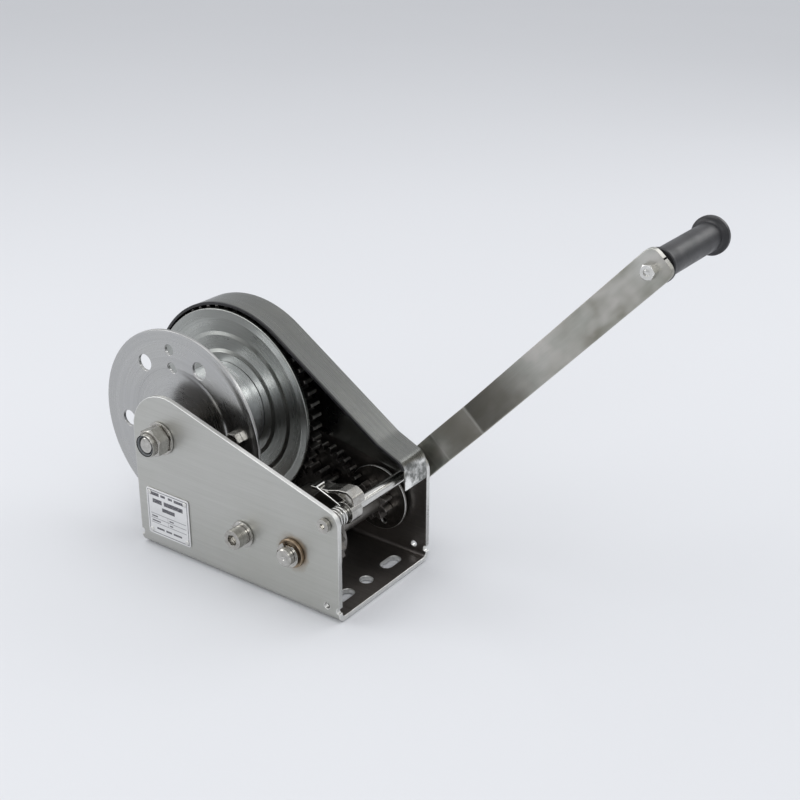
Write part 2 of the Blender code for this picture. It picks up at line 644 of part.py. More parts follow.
def build_crank(body):
    at = (CRANK_X, CRANK_Z)
    shaft = [
        (0, -65.4), (1.9, -67.2), (JOURNAL_R - 1, -67.2), (JOURNAL_R, -66.2),
        (JOURNAL_R, -62.6), (5.9, -62.6), (5.9, -61.2), (JOURNAL_R, -61.2),
        (JOURNAL_R, -49.6), (10.5, -49.6), (10.5, -41.0), (JOURNAL_R, -41.0),
        (JOURNAL_R, -26.4), (THREAD_R, -25.2), (THREAD_R, 82.0), (THREAD_R - 1, 83.0), (0, 83.0),
    ]
    turned("crank_shaft", BRIGHT, shaft, at, body, steps=28)
    backing = tube(BRAKE_R, JOURNAL_R + GAP, -40.7, -36.6, 0.6)
    turned("brake_backing_disc", DISC_STEEL, backing, at, body, steps=32)
    clip = arc(0, 0, 9.6, radians(115), radians(425), 20)
    clip += arc(0, 0, 6.1, radians(425), radians(115), 16)
    flat("shaft_clip", FASTENER, [clip], -62.3, -61.5, at, body)
    cup = [
        (THREAD_R + GAP, 57.4), (12.5, 57.4), (12.5, 62.6), (34.5, 62.6), (35.6, 61.6),
        (35.6, 57.4), (37.8, 57.4), (37.8, 62.6), (35.4, 65.4), (THREAD_R + GAP, 65.4),
    ]
    turned("crank_hub_cup", STEEL, cup, at, body, steps=36)
    build_arm(body)
    turned("crank_washer", FASTENER, tube(12.0, 6.1, 71.8, 73.4), at, body)
    nut("crank_nut", FASTENER, 18.4, 6.1, 73.7, 82.2, at, body, collar=2.4, collar_low=False)


def build_arm(body):
    """The flat bar with its joggle: a bent strip cut to a bar with round ends."""
    s0, s1 = JOGGLE_AT
    reach = ARM_LENGTH + ARM_WIDTH
    lower = [(-ARM_WIDTH, 0), (s0, 0), (s1, ARM_JOGGLE), (reach, ARM_JOGGLE)]
    strip = lower + [(s, y + ARM_THICK) for s, y in reversed(lower)]
    strip = rounded(strip, [0, 8, 12, 0, 0, 8, 12, 0], 3)
    arm = flat("crank_arm", STEEL, [strip], -ARM_WIDTH, ARM_WIDTH, (CRANK_X, CRANK_Z), body)
    arm.data.transform(Matrix.Translation((0, ARM_Y * MM, 0)) @ Matrix.Rotation(-pi / 2, 4, "X"))
    half = ARM_WIDTH / 2
    bar = arc(0, 0, half + 1.0, pi / 2, 1.5 * pi, 14) + arc(ARM_LENGTH, 0, half, -pi / 2, pi / 2, 14)
    cuts = [bar, ring(0, 0, THREAD_R + GAP, 20), ring(ARM_LENGTH, 0, 4.3, 16)]
    mould = flat("arm_outline", None, cuts, 40.0, 110.0, (CRANK_X, CRANK_Z), cutter=True)
    boolean(arm, mould, "INTERSECT")
    arm.rotation_euler.y = mould.rotation_euler.y = -ARM_ANGLE


def build_brake_linings(body):
    at = (CRANK_X, CRANK_Z)
    for side, span in (("outer", (-36.3, -33.4)), ("inner", (-27.6, -24.7))):
        lining = tube(LINING_R, JOURNAL_R + 0.4, *span)
        turned(f"friction_disc_{side}", LINING, lining, at, body, steps=28)


def build_ratchet(body):
    outline = [ratchet_outline(), ring(0, 0, JOURNAL_R + 0.6, 32)]
    flat("ratchet_wheel", DISC_STEEL, outline, *RATCHET_Y, (CRANK_X, CRANK_Z), body)


def build_bushings():
    at = (CRANK_X, CRANK_Z)
    bore = JOURNAL_R + GAP
    out = HALF_W + GAP
    turned("bushing_near", BRONZE, [
        (bore, -out - 2.6), (10.8, -out - 2.6), (11.4, -out - 2.0), (11.4, -out), (9.7, -out),
        (9.7, -50.2), (bore, -50.2)], at, steps=28)
    inner = INNER_W - GAP
    turned("bushing_far", BRONZE, [
        (THREAD_R + GAP, 49.3), (11.6, 49.3), (11.6, inner), (9.7, inner),
        (9.7, HALF_W + 0.4), (THREAD_R + GAP, HALF_W + 0.4)], at, steps=24)


# ---- grip --------------------------------------------------------------------------------


def grip_place():
    return (CRANK_X + ARM_LENGTH * cos(ARM_ANGLE), CRANK_Z + ARM_LENGTH * sin(ARM_ANGLE))


def build_grip(crank_body, body):
    at = grip_place()
    face = ARM_Y + ARM_JOGGLE
    back = face + ARM_THICK
    head = (face - 5.6, face - GAP)
    bolt_mesh("grip_bolt", FASTENER, 10.0, head, 4.0, back + GRIP_LENGTH - 6.0, at, crank_body)
    nut("grip_bolt_nut", FASTENER, 13.0, 4.3, back + GAP, back + 5.6, at, crank_body)
    y0, y1 = back + 6.2, back + GRIP_LENGTH + 4.0
    grip = [
        (4.5, y0), (GRIP_R + 1.2, y0), (GRIP_R + 1.8, y0 + 0.8), (GRIP_R + 1.8, y0 + 3.0),
        (GRIP_R, y0 + 4.2), (GRIP_R, y1 - 7.0), (GRIP_FLANGE_R - 1.0, y1 - 5.6),
        (GRIP_FLANGE_R, y1 - 4.6), (GRIP_FLANGE_R, y1 - 1.4), (GRIP_FLANGE_R - 1.6, y1),
        (7.0, y1 + 0.6), (0, y1 + 0.8), (0, y1 - 9.0), (4.5, y1 - 9.0),
    ]
    turned("grip", RUBBER, grip, at, body, steps=28)


# ---- pawl and its spring -----------------------------------------------------------------


def pawl_outline():
    """The pawl seen along Y, about the tie rod: a hub, an arm, and a nose in the ratchet's tooth gap."""
    dx, dz = CRANK_X - ROD_X, CRANK_Z - ROD_Z
    slope = (RATCHET_TIP - RATCHET_ROOT) / (360.0 / RATCHET_TEETH)

    def polar(r, degrees_back):
        a = radians(PAWL_ANGLE - degrees_back)
        return (dx + r * cos(a), dz + r * sin(a))

    nose = [polar(RATCHET_ROOT + 0.9, 2.0), polar(32.0, 1.6), polar(36.0, -1.6)]
    under = [polar(30.0, 17.0), polar(28.3, 14.6), polar(RATCHET_ROOT + 0.7 + slope * 10.0, 10.0)]
    hub = arc(0, 0, 8.6, radians(230), radians(440), 14)
    return nose + [(-24.0, 9.0), (-10.0, 13.0)] + hub[::-1] + under


def build_pawl(body):
    at = (ROD_X, ROD_Z)
    outline = [pawl_outline(), ring(0, 0, ROD_R + 0.3, 20)]
    pawl = flat("pawl", FASTENER, outline, -33.4, -27.6, at, body)
    hub = turned("pawl_hub", None, tube(8.6, ROD_R + 0.3, -36.0, -24.2), at, steps=28, cutter=True)
    boolean(pawl, hub, "UNION")
    over = [(-29.0, 13.6), (-14.0, 14.4), (-4.0, 17.6), (4.0, 18.4), (9.6, 15.0), (10.8, 9.0)]
    tab = over + [(9.0, 8.4), (7.8, 13.4), (3.4, 16.2), (-3.4, 15.4), (-13.6, 12.0), (-29.0, 11.2)]
    boolean(pawl, flat("pawl_tab", None, [tab], -37.0, -24.2, at, cutter=True), "UNION")
    web = [(-24.0, 8.0), (-6.0, 6.0), (-6.0, 15.0), (-24.0, 12.0)]
    boolean(pawl, flat("pawl_web", None, [web], -33.2, -27.8, at, cutter=True), "UNION")


def build_pawl_spring():
    """A torsion spring wound on the tie rod: one leg on the base side, one leg over the pawl."""
    r, wire, steps = 6.6, 0.75, 40
    y0, y1 = -48.0, -38.2
    start, sweep = radians(200), radians(3 * 360 + 100)
    turns = [(k / steps, start - sweep * k / steps) for k in range(steps + 1)]
    coil = [(r * cos(a), y0 + (y1 - y0) * share, r * sin(a)) for share, a in turns]
    tail = [(-3.0, y0 - 0.6, -14.0), (-6.6, y0 - 0.2, -6.0)]
    hook = [(-10.0, y1, 10.2), (-21.0, y1, 14.2), (-22.0, -36.6, 15.2), (-22.4, -30.0, 15.2)]
    path = tail + coil + hook
    curve = bpy.data.curves.new("pawl_spring", "CURVE")
    curve.dimensions = "3D"
    curve.bevel_depth = wire * MM
    curve.bevel_resolution = 2
    curve.use_fill_caps = True
    spline = curve.splines.new("POLY")
    spline.points.add(len(path) - 1)
    for point, (x, y, z) in zip(spline.points, path):
        point.co = (x * MM, y * MM, z * MM, 1.0)
    place(bpy.data.objects.new("pawl_spring", curve), BRIGHT, (ROD_X, ROD_Z))


def main():
    drum = body_empty("drum_body", (DRUM_X, DRUM_Z))
    mid = body_empty("intermediate_body", (MID_X, MID_Z))
    pinion = body_empty("pinion_body", (CRANK_X, CRANK_Z))
    ratchet = body_empty("ratchet_body", (CRANK_X, CRANK_Z))
    crank = body_empty("crank_body", (CRANK_X, CRANK_Z))
    grip = body_empty("grip_body", grip_place())
    pawl = body_empty("pawl_body", (ROD_X, ROD_Z))
    build_frame()
    build_name_plate()
    build_cover()
    build_fixed_axles()
    build_bushings()
    build_drum(drum)
    build_intermediate(mid)
    build_pinion_body(pinion)
    build_brake_linings(pinion)
    build_ratchet(ratchet)
    build_crank(crank)
    build_grip(crank, grip)
    build_pawl(pawl)
    build_pawl_spring()


main()
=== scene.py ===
"""Boat trailer winch: its visible surfaces, finishes, stage and camera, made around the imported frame.

Lengths in this file are in millimetres and become metres when a mesh is stored. The origin is the
centre of the base's underside, +X the open front end, +Y the crank side, +Z up.
"""

import json
from math import atan2, cos, pi, radians, sin, tan

import bpy
import numpy as np
from mathutils import Matrix, Vector
from mathutils.geometry import delaunay_2d_cdt


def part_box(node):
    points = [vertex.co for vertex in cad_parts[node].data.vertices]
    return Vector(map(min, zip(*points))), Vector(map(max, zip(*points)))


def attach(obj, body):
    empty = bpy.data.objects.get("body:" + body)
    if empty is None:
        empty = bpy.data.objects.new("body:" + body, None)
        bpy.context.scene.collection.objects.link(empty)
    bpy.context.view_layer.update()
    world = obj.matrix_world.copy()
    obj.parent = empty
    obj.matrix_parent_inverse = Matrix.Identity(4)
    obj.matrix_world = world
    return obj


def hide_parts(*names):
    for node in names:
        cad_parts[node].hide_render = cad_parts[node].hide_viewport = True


bl_info = {
    "name": "Boat Trailer Winch",
    "version": (1, 0, 0),
    "blender": (4, 5, 0),
    "location": "View3D > Sidebar > Winch",
    "description": "Builds the skins and finishes of a two-stage hand winch for a boat trailer",
    "category": "Add Mesh",
}

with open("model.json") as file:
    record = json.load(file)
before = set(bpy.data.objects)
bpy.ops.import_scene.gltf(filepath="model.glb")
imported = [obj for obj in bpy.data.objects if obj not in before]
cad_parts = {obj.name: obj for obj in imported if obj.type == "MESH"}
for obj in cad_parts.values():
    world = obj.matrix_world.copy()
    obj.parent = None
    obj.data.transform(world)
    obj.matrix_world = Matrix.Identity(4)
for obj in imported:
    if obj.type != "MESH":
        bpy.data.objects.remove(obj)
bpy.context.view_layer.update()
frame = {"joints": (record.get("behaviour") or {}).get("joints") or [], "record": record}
MM = 0.001

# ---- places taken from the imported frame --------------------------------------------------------


def shaft(joint):
    """The (x, z) of a joint's axis."""
    found = next(j for j in frame["joints"] if j["name"] == joint)
    return found["pos_m"][0] / MM, found["pos_m"][2] / MM


DRUM, MIDDLE, CRANK = shaft("drum_spin"), shaft("intermediate_spin"), shaft("pinion_spin")
ROD, GRIP = shaft("pawl_swing"), shaft("grip_spin")
HALF_LENGTH, HALF_WIDTH = (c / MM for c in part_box("frame_channel")[1][:2])
SHEET = 4.0
BEND_MID = 5.0  # bend radius of the sheet's middle
HOLE_CLEARANCE = 1.6  # between a hole and the rings drawn on a face
LOBE_R, FRONT_R = 34.0, 12.0
ARM_ANGLE = atan2(GRIP[1] - CRANK[1], GRIP[0] - CRANK[0])


# ---- curves in a plane --------------------------------------------------------------------------


def unit(v):
    """v over its length."""
    return v / np.maximum(np.linalg.norm(v, axis=-1, keepdims=True), 1e-12)


def rounded(points, radii=0.0, steps=4, closed=True):
    """Points and outward normals of a polygon whose corners are rounds.

    A corner turning by angle t, of radius r, starts r * tan(t / 2) before the corner. Its points
    are centre + r * n, where the normal n turns evenly from the first side's to the second's. A
    corner of radius 0 stays one point with the middle normal.
    """
    p = np.asarray(points, float)
    r = np.broadcast_to(np.asarray(radii, float), len(p)).copy()
    area = np.sum(p[:, 0] * np.roll(p[:, 1], -1) - p[:, 1] * np.roll(p[:, 0], -1))
    if area < 0:
        p, r = p[::-1], r[::-1]
    into, out = unit(p - np.roll(p, 1, 0)), unit(np.roll(p, -1, 0) - p)
    if not closed:
        into[0], out[-1] = out[0], into[-1]
    turn = np.arctan2(into[:, 0] * out[:, 1] - into[:, 1] * out[:, 0], np.sum(into * out, 1))
    side = np.where(turn < 0, -1.0, 1.0)
    first = np.stack([into[:, 1], -into[:, 0]], 1)
    start = p - into * (r * np.tan(np.abs(turn) / 2))[:, None]
    centre = start - first * (side * r)[:, None]
    angle = np.arctan2(first[:, 1], first[:, 0])[:, None] + turn[:, None] * np.linspace(0, 1, steps + 1)
    normals = np.stack([np.cos(angle), np.sin(angle)], 2)
    spots = centre[:, None] + normals * (side * r)[:, None, None]
    keep = np.ones((len(p), steps + 1), bool)
    keep[r <= 0] = False
    keep[r <= 0, steps // 2] = True
    return spots[keep], normals[keep]


def circle(x, z, r, count=48):
    """Points and outward normals of a circle."""
    a = np.arange(count) * 2 * pi / count
    n = np.stack([np.cos(a), np.sin(a)], 1)
    return np.array([x, z]) + n * r, n


def arc(x, z, r, start, end, count):
    """Points of an arc from start to end, in radians, both ends included."""
    a = np.linspace(start, end, count + 1)
    return np.stack([x + r * np.cos(a), z + r * np.sin(a)], 1)


def slot_loop(x, z, length_x, length_z, r):
    """A rectangle whose corners are rounds of radius r."""
    a, b = length_x / 2, length_z / 2
    return rounded([(x - a, z - b), (x + a, z - b), (x + a, z + b), (x - a, z + b)], r, 8)


def smooth_curve(points, count):
    """A Catmull-Rom curve: between two points, the cubic whose slope at each is half the step over it."""
    p = np.asarray(points, float)
    p = np.vstack([2 * p[0] - p[1], p, 2 * p[-1] - p[-2]])
    at = np.linspace(0, len(p) - 3 - 1e-9, count)
    i = at.astype(int)
    t = (at - i)[:, None]
    a, b, c, d = p[i], p[i + 1], p[i + 2], p[i + 3]
    return 0.5 * (
        2 * b + (c - a) * t + (2 * a - 5 * b + 4 * c - d) * t**2 + (3 * b - a - 3 * c + d) * t**3)


# ---- closed skins -------------------------------------------------------------------------------


class Skin:
    """One closed surface: points and normals in millimetres, faces, and each face's finish number."""

    def __init__(self, points, normals, quads, tris=(), quad_finish=0, tri_finish=0):
        """Takes the surface's arrays; a finish is one number or one per face."""
        self.points = np.asarray(points, float).reshape(-1, 3)
        self.normals = np.asarray(normals, float).reshape(-1, 3)
        self.quads = np.asarray(quads, int).reshape(-1, 4)
        self.tris = np.asarray(tris, int).reshape(-1, 3)
        self.quad_finish = np.broadcast_to(quad_finish, len(self.quads)).copy()
        self.tri_finish = np.broadcast_to(tri_finish, len(self.tris)).copy()
        self.face_outwards()

    def face_outwards(self):
        """Turns every face round if six times the signed volume is negative."""
        q = self.points[self.quads]
        both = np.concatenate([q[:, [0, 1, 2]], q[:, [0, 2, 3]], self.points[self.tris]])
        if np.linalg.det(both).sum() < 0:
            self.quads, self.tris = self.quads[:, ::-1], self.tris[:, ::-1]

    def moved(self, change):
        """A skin whose points and normals are what change makes of them."""
        points, normals = change(self.points, self.normals)
        return Skin(points, normals, self.quads, self.tris, self.quad_finish, self.tri_finish)


def grid_faces(rows, columns, wrap_columns=True, wrap_rows=False):
    """The quads of a grid of points numbered row by row."""
    i = np.arange(rows if wrap_rows else rows - 1)[:, None]
    j = np.arange(columns if wrap_columns else columns - 1)[None]
    i2, j2 = (i + 1) % rows, (j + 1) % columns
    return np.stack(np.broadcast_arrays(
        i * columns + j, i * columns + j2, i2 * columns + j2, i2 * columns + j), -1).reshape(-1, 4)


def fill(loops, cuts=(), extra=()):
    """Triangles between the first loop and the holes, through the extra points, keeping the cuts."""
    sizes = [len(p) for p in loops]
    starts = np.concatenate([[0], np.cumsum(sizes)])
    edges = [
        np.stack([s + np.arange(n), s + (np.arange(n) + 1) % n], 1) for s, n in zip(starts, sizes)]
    flat = np.concatenate([*loops, np.reshape(extra, (-1, 2))])
    edges = np.concatenate([*edges, np.asarray(cuts, int).reshape(-1, 2)])
    _, _, faces, came_from, _, _ = delaunay_2d_cdt(
        [Vector(p) for p in flat.tolist()], edges.tolist(), [], 1, 1e-5)
    if any(not c for c in came_from):
        raise RuntimeError("two outlines cross")
    number = np.array([c[0] for c in came_from])
    tris = number[np.array(faces)]
    owner = np.searchsorted(starts, tris, side="right") - 1
    in_hole = (owner == owner[:, :1]).all(1) & (owner[:, 0] > 0) & (owner[:, 0] < len(loops))
    return tris[~in_hole]


def rings_between(at, radii, holes, count=96):
    """Circles drawn on a plate, broken near each hole (x, z, r): their points and joined pairs."""
    spots, pairs, start = [], [], 0
    for r in radii:
        p, _ = circle(*at, r, count)
        clear = np.ones(count, bool)
        for x, z, hole in holes:
            clear &= np.hypot(p[:, 0] - x, p[:, 1] - z) > hole + HOLE_CLEARANCE
        number = np.cumsum(clear) - 1 + start
        both = clear & np.roll(clear, -1)
        pairs.append(np.stack([number, np.roll(number, -1)], 1)[both])
        spots.append(p[clear])
        start += clear.sum()
    return np.concatenate(spots), np.concatenate(pairs)


def plate(outer, holes, low, high, edge=0.5, steps=3, cuts=(), faces=(0, 0), rim=0, drawn=None):
    """A flat plate of (x, z) outlines with both edges rounded, and drawn lines across its faces.

    Along a quarter circle a, a rim point is outline - normal * edge * (1 - cos a), and its height
    is the face's, moved inwards by edge * (1 - sin a).
    """
    loops = [outer, *((p[::-1], -n[::-1]) for p, n in holes)]
    p, n = (np.concatenate(part) for part in zip(*loops))
    a = np.linspace(pi / 2, 0, steps + 1)
    inset = edge * np.concatenate([1 - np.cos(a), (1 - np.cos(a))[::-1]])
    height = np.concatenate([high - edge * (1 - np.sin(a)), (low + edge * (1 - np.sin(a)))[::-1]])
    tilt = np.concatenate([a, -a[::-1]])[:, None]
    rows = len(inset)
    spots = np.empty((rows, len(p), 3))
    spots[..., [0, 2]] = p - n * inset[:, None, None]
    spots[..., 1] = height[:, None]
    normals = np.empty_like(spots)
    normals[..., [0, 2]] = n * np.cos(tilt)[..., None]
    normals[..., 1] = np.sin(tilt)
    total = len(p)
    quads, start = [], 0
    for points, _ in loops:
        count = len(points)
        local = grid_faces(rows, count)
        quads.append(local // count * total + local % count + start)
        start += count
    last = (rows - 1) * total
    extra, pairs = drawn if drawn else (np.zeros((0, 2)), np.zeros((0, 2), int))
    more = np.concatenate([np.asarray(cuts, int).reshape(-1, 2), pairs + total])
    tris = fill([loop_p - loop_n * edge for loop_p, loop_n in loops], more, extra)
    on_high = np.where(tris < total, tris, tris + last)
    on_low = np.where(tris < total, tris + last, tris + last + len(extra))
    blank = np.zeros(len(extra))
    spots, normals = spots.reshape(-1, 3), normals.reshape(-1, 3)
    for y, up in ((high, 1.0), (low, -1.0)):
        spots = np.concatenate([spots, np.stack([extra[:, 0], blank + y, extra[:, 1]], 1)])
        normals = np.concatenate([normals, np.stack([blank, blank + up, blank], 1)])
    return Skin(
        spots, normals, np.concatenate(quads), np.concatenate([on_high[:, ::-1], on_low]),
        rim, np.repeat(faces, len(tris)))


def turned(profile, at, radii=0.4, segments=64, steps=3, finish=0):
    """A turned surface about a shaft: the (radius, y) profile, rounded at its corners, spun round.

    A profile that starts and ends at radius 0 is open there and its poles are single points.
    """
    p = np.asarray(profile, float)
    solid = p[0, 0] == 0 and p[-1, 0] == 0
    r = np.broadcast_to(np.asarray(radii, float), len(p)).copy()
    if solid:
        r[[0, -1]] = 0
    path, normal = rounded(p, r, steps, closed=not solid)
    if solid:
        ends = np.abs(path[:, 0]) < 1e-9
        path, normal = path[np.argmax(ends):], normal[np.argmax(ends):]
        normal[[0, -1]] = [(0, np.sign(path[0, 1] - path[-1, 1])), (0, np.sign(path[-1, 1] - path[0, 1]))]
    a = np.arange(segments) * 2 * pi / segments
    spin = np.stack([np.cos(a), np.sin(a)], 1)
    spots = np.empty((len(path), segments, 3))
    spots[..., [0, 2]] = np.array(at) + path[:, None, :1] * spin
    spots[..., 1] = path[:, None, 1]
    normals = np.empty_like(spots)
    normals[..., [0, 2]] = normal[:, None, :1] * spin
    normals[..., 1] = normal[:, None, 1]
    quads = grid_faces(len(path), segments, wrap_rows=not solid)
    if not solid:
        return Skin(spots, normals, quads, quad_finish=finish)
    inner = quads[segments:-segments] - segments + 1
    count = (len(path) - 2) * segments
    near, far = np.arange(segments), count - segments + np.arange(segments)
    caps = np.concatenate([
        np.stack([np.zeros(segments, int), np.roll(near, -1) + 1, near + 1], 1),
        np.stack([np.full(segments, count + 1), far + 1, np.roll(far, -1) + 1], 1)])
    spots = np.concatenate([spots[:1, 0], spots[1:-1].reshape(-1, 3), spots[-1:, 0]])
    normals = np.concatenate([normals[:1, 0], normals[1:-1].reshape(-1, 3), normals[-1:, 0]])
    return Skin(spots, normals, inner, caps, finish, finish)


def hexagonal(flats, low, high, at, bore, phase=0.0, corner=0.35, crowned=(True, True), finish=0):
    """A hexagon nut: at each height the rounded hexagon is held inside a 30 degree cone.

    Its radius is the smaller of the hexagon's and the cone's, which draws the curved chamfers.
    """
    tip = flats / 2 / cos(pi / 6)
    a = np.arange(6) * pi / 3 + phase
    corners = np.stack([tip * np.cos(a), tip * np.sin(a)], 1)
    share = np.linspace(0, 1, 9)[:-1, None]
    sides = corners[:, None] * (1 - share) + np.roll(corners, -1, 0)[:, None] * share
    radii = np.where(np.arange(48) % 8 == 0, corner, 0.0)
    p, n = rounded(sides.reshape(-1, 2), radii, 2)
    away, around = np.linalg.norm(p, axis=1), unit(p)
    face_r = flats / 2 * 0.96
    cone = np.linspace(face_r, tip + 0.02, 8)
    rise = (cone - face_r) * tan(pi / 6)
    heights, caps, lean = [low], [face_r], [-1.0]
    if crowned[0]:
        heights, caps, lean = [*(low + rise)], [*cone], [-1.0] * 8
    heights += [*(high - rise[::-1])] if crowned[1] else [high]
    caps += [*cone[::-1]] if crowned[1] else [tip + 1]
    lean += [1.0] * (8 if crowned[1] else 1)
    if not crowned[0]:
        caps[0] = tip + 1
    heights, caps, lean = map(np.array, (heights, caps, lean))
    r = np.minimum(away[None], caps[:, None])
    on_cone = (caps[:, None] < away[None])[..., None]
    side_n = np.stack([n[:, 0], np.zeros(len(n)), n[:, 1]], 1)[None]
    cone_n = np.stack([around[:, 0] * 0.5, np.zeros(len(n)), around[:, 1] * 0.5], 1)[None]
    cone_n = cone_n + np.array([0, 0.866, 0]) * lean[:, None, None]
    body_n = np.where(on_cone, cone_n, side_n)
    body = np.stack([around[:, 0] * r, np.broadcast_to(heights[:, None], r.shape), around[:, 1] * r], 2)

    def flat_row(radius, y):
        """One row of the grid: a circle at height y under the hexagon's points."""
        return np.stack([around[:, 0] * radius, np.full(len(p), y), around[:, 1] * radius], 1)[None]

    up, inward = np.array([0, 1.0, 0]), -np.stack([around[:, 0], np.zeros(len(p)), around[:, 1]], 1)[None]
    ones = np.ones((1, len(p), 1))
    spots = np.concatenate([
        flat_row(bore, low), flat_row(r[0], low), body, flat_row(r[-1], high), flat_row(bore, high),
        flat_row(bore, high), flat_row(bore, low)])
    normals = np.concatenate([
        -ones * up, -ones * up, body_n, ones * up, ones * up, inward, inward])
    spots = spots + np.array([at[0], 0, at[1]])
    return Skin(spots, normals, grid_faces(len(spots), len(p)), quad_finish=finish)


def threaded(r, low, high, at, pitch=1.75, depth=0.75, segments=48, finish=0):
    """A screw thread: radius r - depth * w, where w is a triangle wave of y / pitch - angle / turn."""
    rows = int((high - low) / pitch * 8) + 1
    y = np.linspace(low, high, rows)[:, None]
    a = (np.arange(segments) * 2 * pi / segments)[None]
    wave = np.abs((y / pitch - a / (2 * pi)) % 1 * 2 - 1)
    ends = np.clip(np.minimum(y - low, high - y) / 0.9, 0, 1)
    radius = r - depth * wave - 1.0 * (1 - ends)
    spots = np.stack(
        [at[0] + radius * np.cos(a), np.broadcast_to(y, radius.shape), at[1] + radius * np.sin(a)], 2)
    spots = np.concatenate([
        spots[:1] * 0 + [at[0], low, at[1]], spots, spots[-1:] * 0 + [at[0], high, at[1]]])
    return Skin(spots, grid_normals(spots), grid_faces(rows + 2, segments), quad_finish=finish)


def grid_normals(spots):
    """Normals of a grid that wraps along its rows, from the cross product of its central differences."""
    along = np.roll(spots, -1, 1) - np.roll(spots, 1, 1)
    across = np.gradient(spots, axis=0)
    made = unit(np.cross(along, across))
    centre = spots.mean((0, 1))
    return made if np.sum(made * (spots - centre)) > 0 else -made


def wire(path, r, sides=12, lean=(0.35, 1.0, 0.2), finish=0):
    """A round wire along a path, with rounded ends: centre + r * (e1 cos a + e2 sin a)."""
    path = np.asarray(path, float)
    run = unit(np.gradient(path, axis=0))
    out = r * np.array([[1.0], [0.85], [0.5]])
    size = np.concatenate([[0.0, 0.5 * r, 0.85 * r], np.full(len(path), r), [0.85 * r, 0.5 * r, 0.0]])
    path = np.concatenate([path[0] - run[0] * out, path, path[-1] + run[-1] * out[::-1]])
    run = np.concatenate([np.repeat(run[:1], 3, 0), run, np.repeat(run[-1:], 3, 0)])
    e1 = unit(np.cross(run, np.array(lean)))
    e2 = np.cross(run, e1)
    a = np.arange(sides) * 2 * pi / sides
    ring = e1[:, None] * np.cos(a)[:, None] + e2[:, None] * np.sin(a)[:, None]
    spots = path[:, None] + ring * size[:, None, None]
    ring[:3], ring[-3:] = unit(ring[:3] - run[:3, None]), unit(ring[-3:] + run[-3:, None])
    return Skin(spots, ring, grid_faces(len(path), sides), quad_finish=finish)


def bent_bar(stations, half_width, offset, thick, edge, finish=0, steps=3):
    """A flat bar: a rounded rectangle of its width and thickness, carried along its stations.

    half_width and offset are arrays over the stations: half the width, and how far the bar has
    stepped sideways there. Columns are (station, side, across).
    """
    a = np.linspace(0, pi / 2, steps + 1)
    quarter = np.stack([np.cos(a), np.sin(a)], 1)
    turn = np.array([[1, 1], [-1, 1], [-1, -1], [1, -1]])
    normal = np.concatenate([
        (q if k % 2 == 0 else q[::-1]) for k, q in enumerate(quarter * t for t in turn)])
    signs = np.repeat(turn, steps + 1, 0)
    half_t = thick / 2
    w = (np.maximum(half_width, edge)[:, None] - edge) * signs[:, 0] + edge * normal[:, 0]
    t = (half_t - edge) * signs[:, 1] + edge * normal[:, 1]
    slope = np.gradient(offset, stations)[:, None]
    spots = np.stack([
        stations[:, None] - slope * t, w, offset[:, None] + np.broadcast_to(t, w.shape)], 2)
    taper = np.gradient(half_width, stations)[:, None]
    normals = unit(np.stack([
        -slope * normal[:, 1] - np.clip(taper, -4, 4) * np.abs(normal[:, 0]),
        np.broadcast_to(normal[:, 0], w.shape), np.broadcast_to(normal[:, 1], w.shape)], 2))
    columns = len(normal)
    caps = np.array([(0, k, k + 1) for k in range(1, columns - 1)])
    last = (len(stations) - 1) * columns
    tris = np.concatenate([caps, caps[:, ::-1] + last])
    return Skin(spots, normals, grid_faces(len(stations), columns), tris, finish, finish)


# ---- storing a piece ----------------------------------------------------------------------------


BODY_OF = {node: body for body, nodes in frame["record"]["behaviour"]["bodies"].items() for node in nodes}


def piece(node, skins, *finishes):
    """Stores skins as one mesh in metres, in its finishes, riding on its body in the CAD node's place."""
    skins = skins if isinstance(skins, list) else [skins]
    starts = np.cumsum([0] + [len(s.points) for s in skins])
    faces = [f for s, k in zip(skins, starts) for f in (s.quads + k).tolist() + (s.tris + k).tolist()]
    mesh = bpy.data.meshes.new(node + "_skin")
    mesh.from_pydata((np.concatenate([s.points for s in skins]) * MM).tolist(), [], faces)
    chosen = np.concatenate([np.concatenate([s.quad_finish, s.tri_finish]) for s in skins])
    mesh.polygons.foreach_set("material_index", chosen.astype(np.int32))
    mesh.polygons.foreach_set("use_smooth", np.ones(len(faces), bool))
    for name in finishes:
        mesh.materials.append(FINISHES[name])
    mesh.update()
    mesh.normals_split_custom_set_from_vertices(
        unit(np.concatenate([s.normals for s in skins])).tolist())
    made = bpy.data.objects.new(node + "_skin", mesh)
    bpy.context.scene.collection.objects.link(made)
    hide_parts(node)
    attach(made, BODY_OF[node])
    return made


# ---- finishes -----------------------------------------------------------------------------------


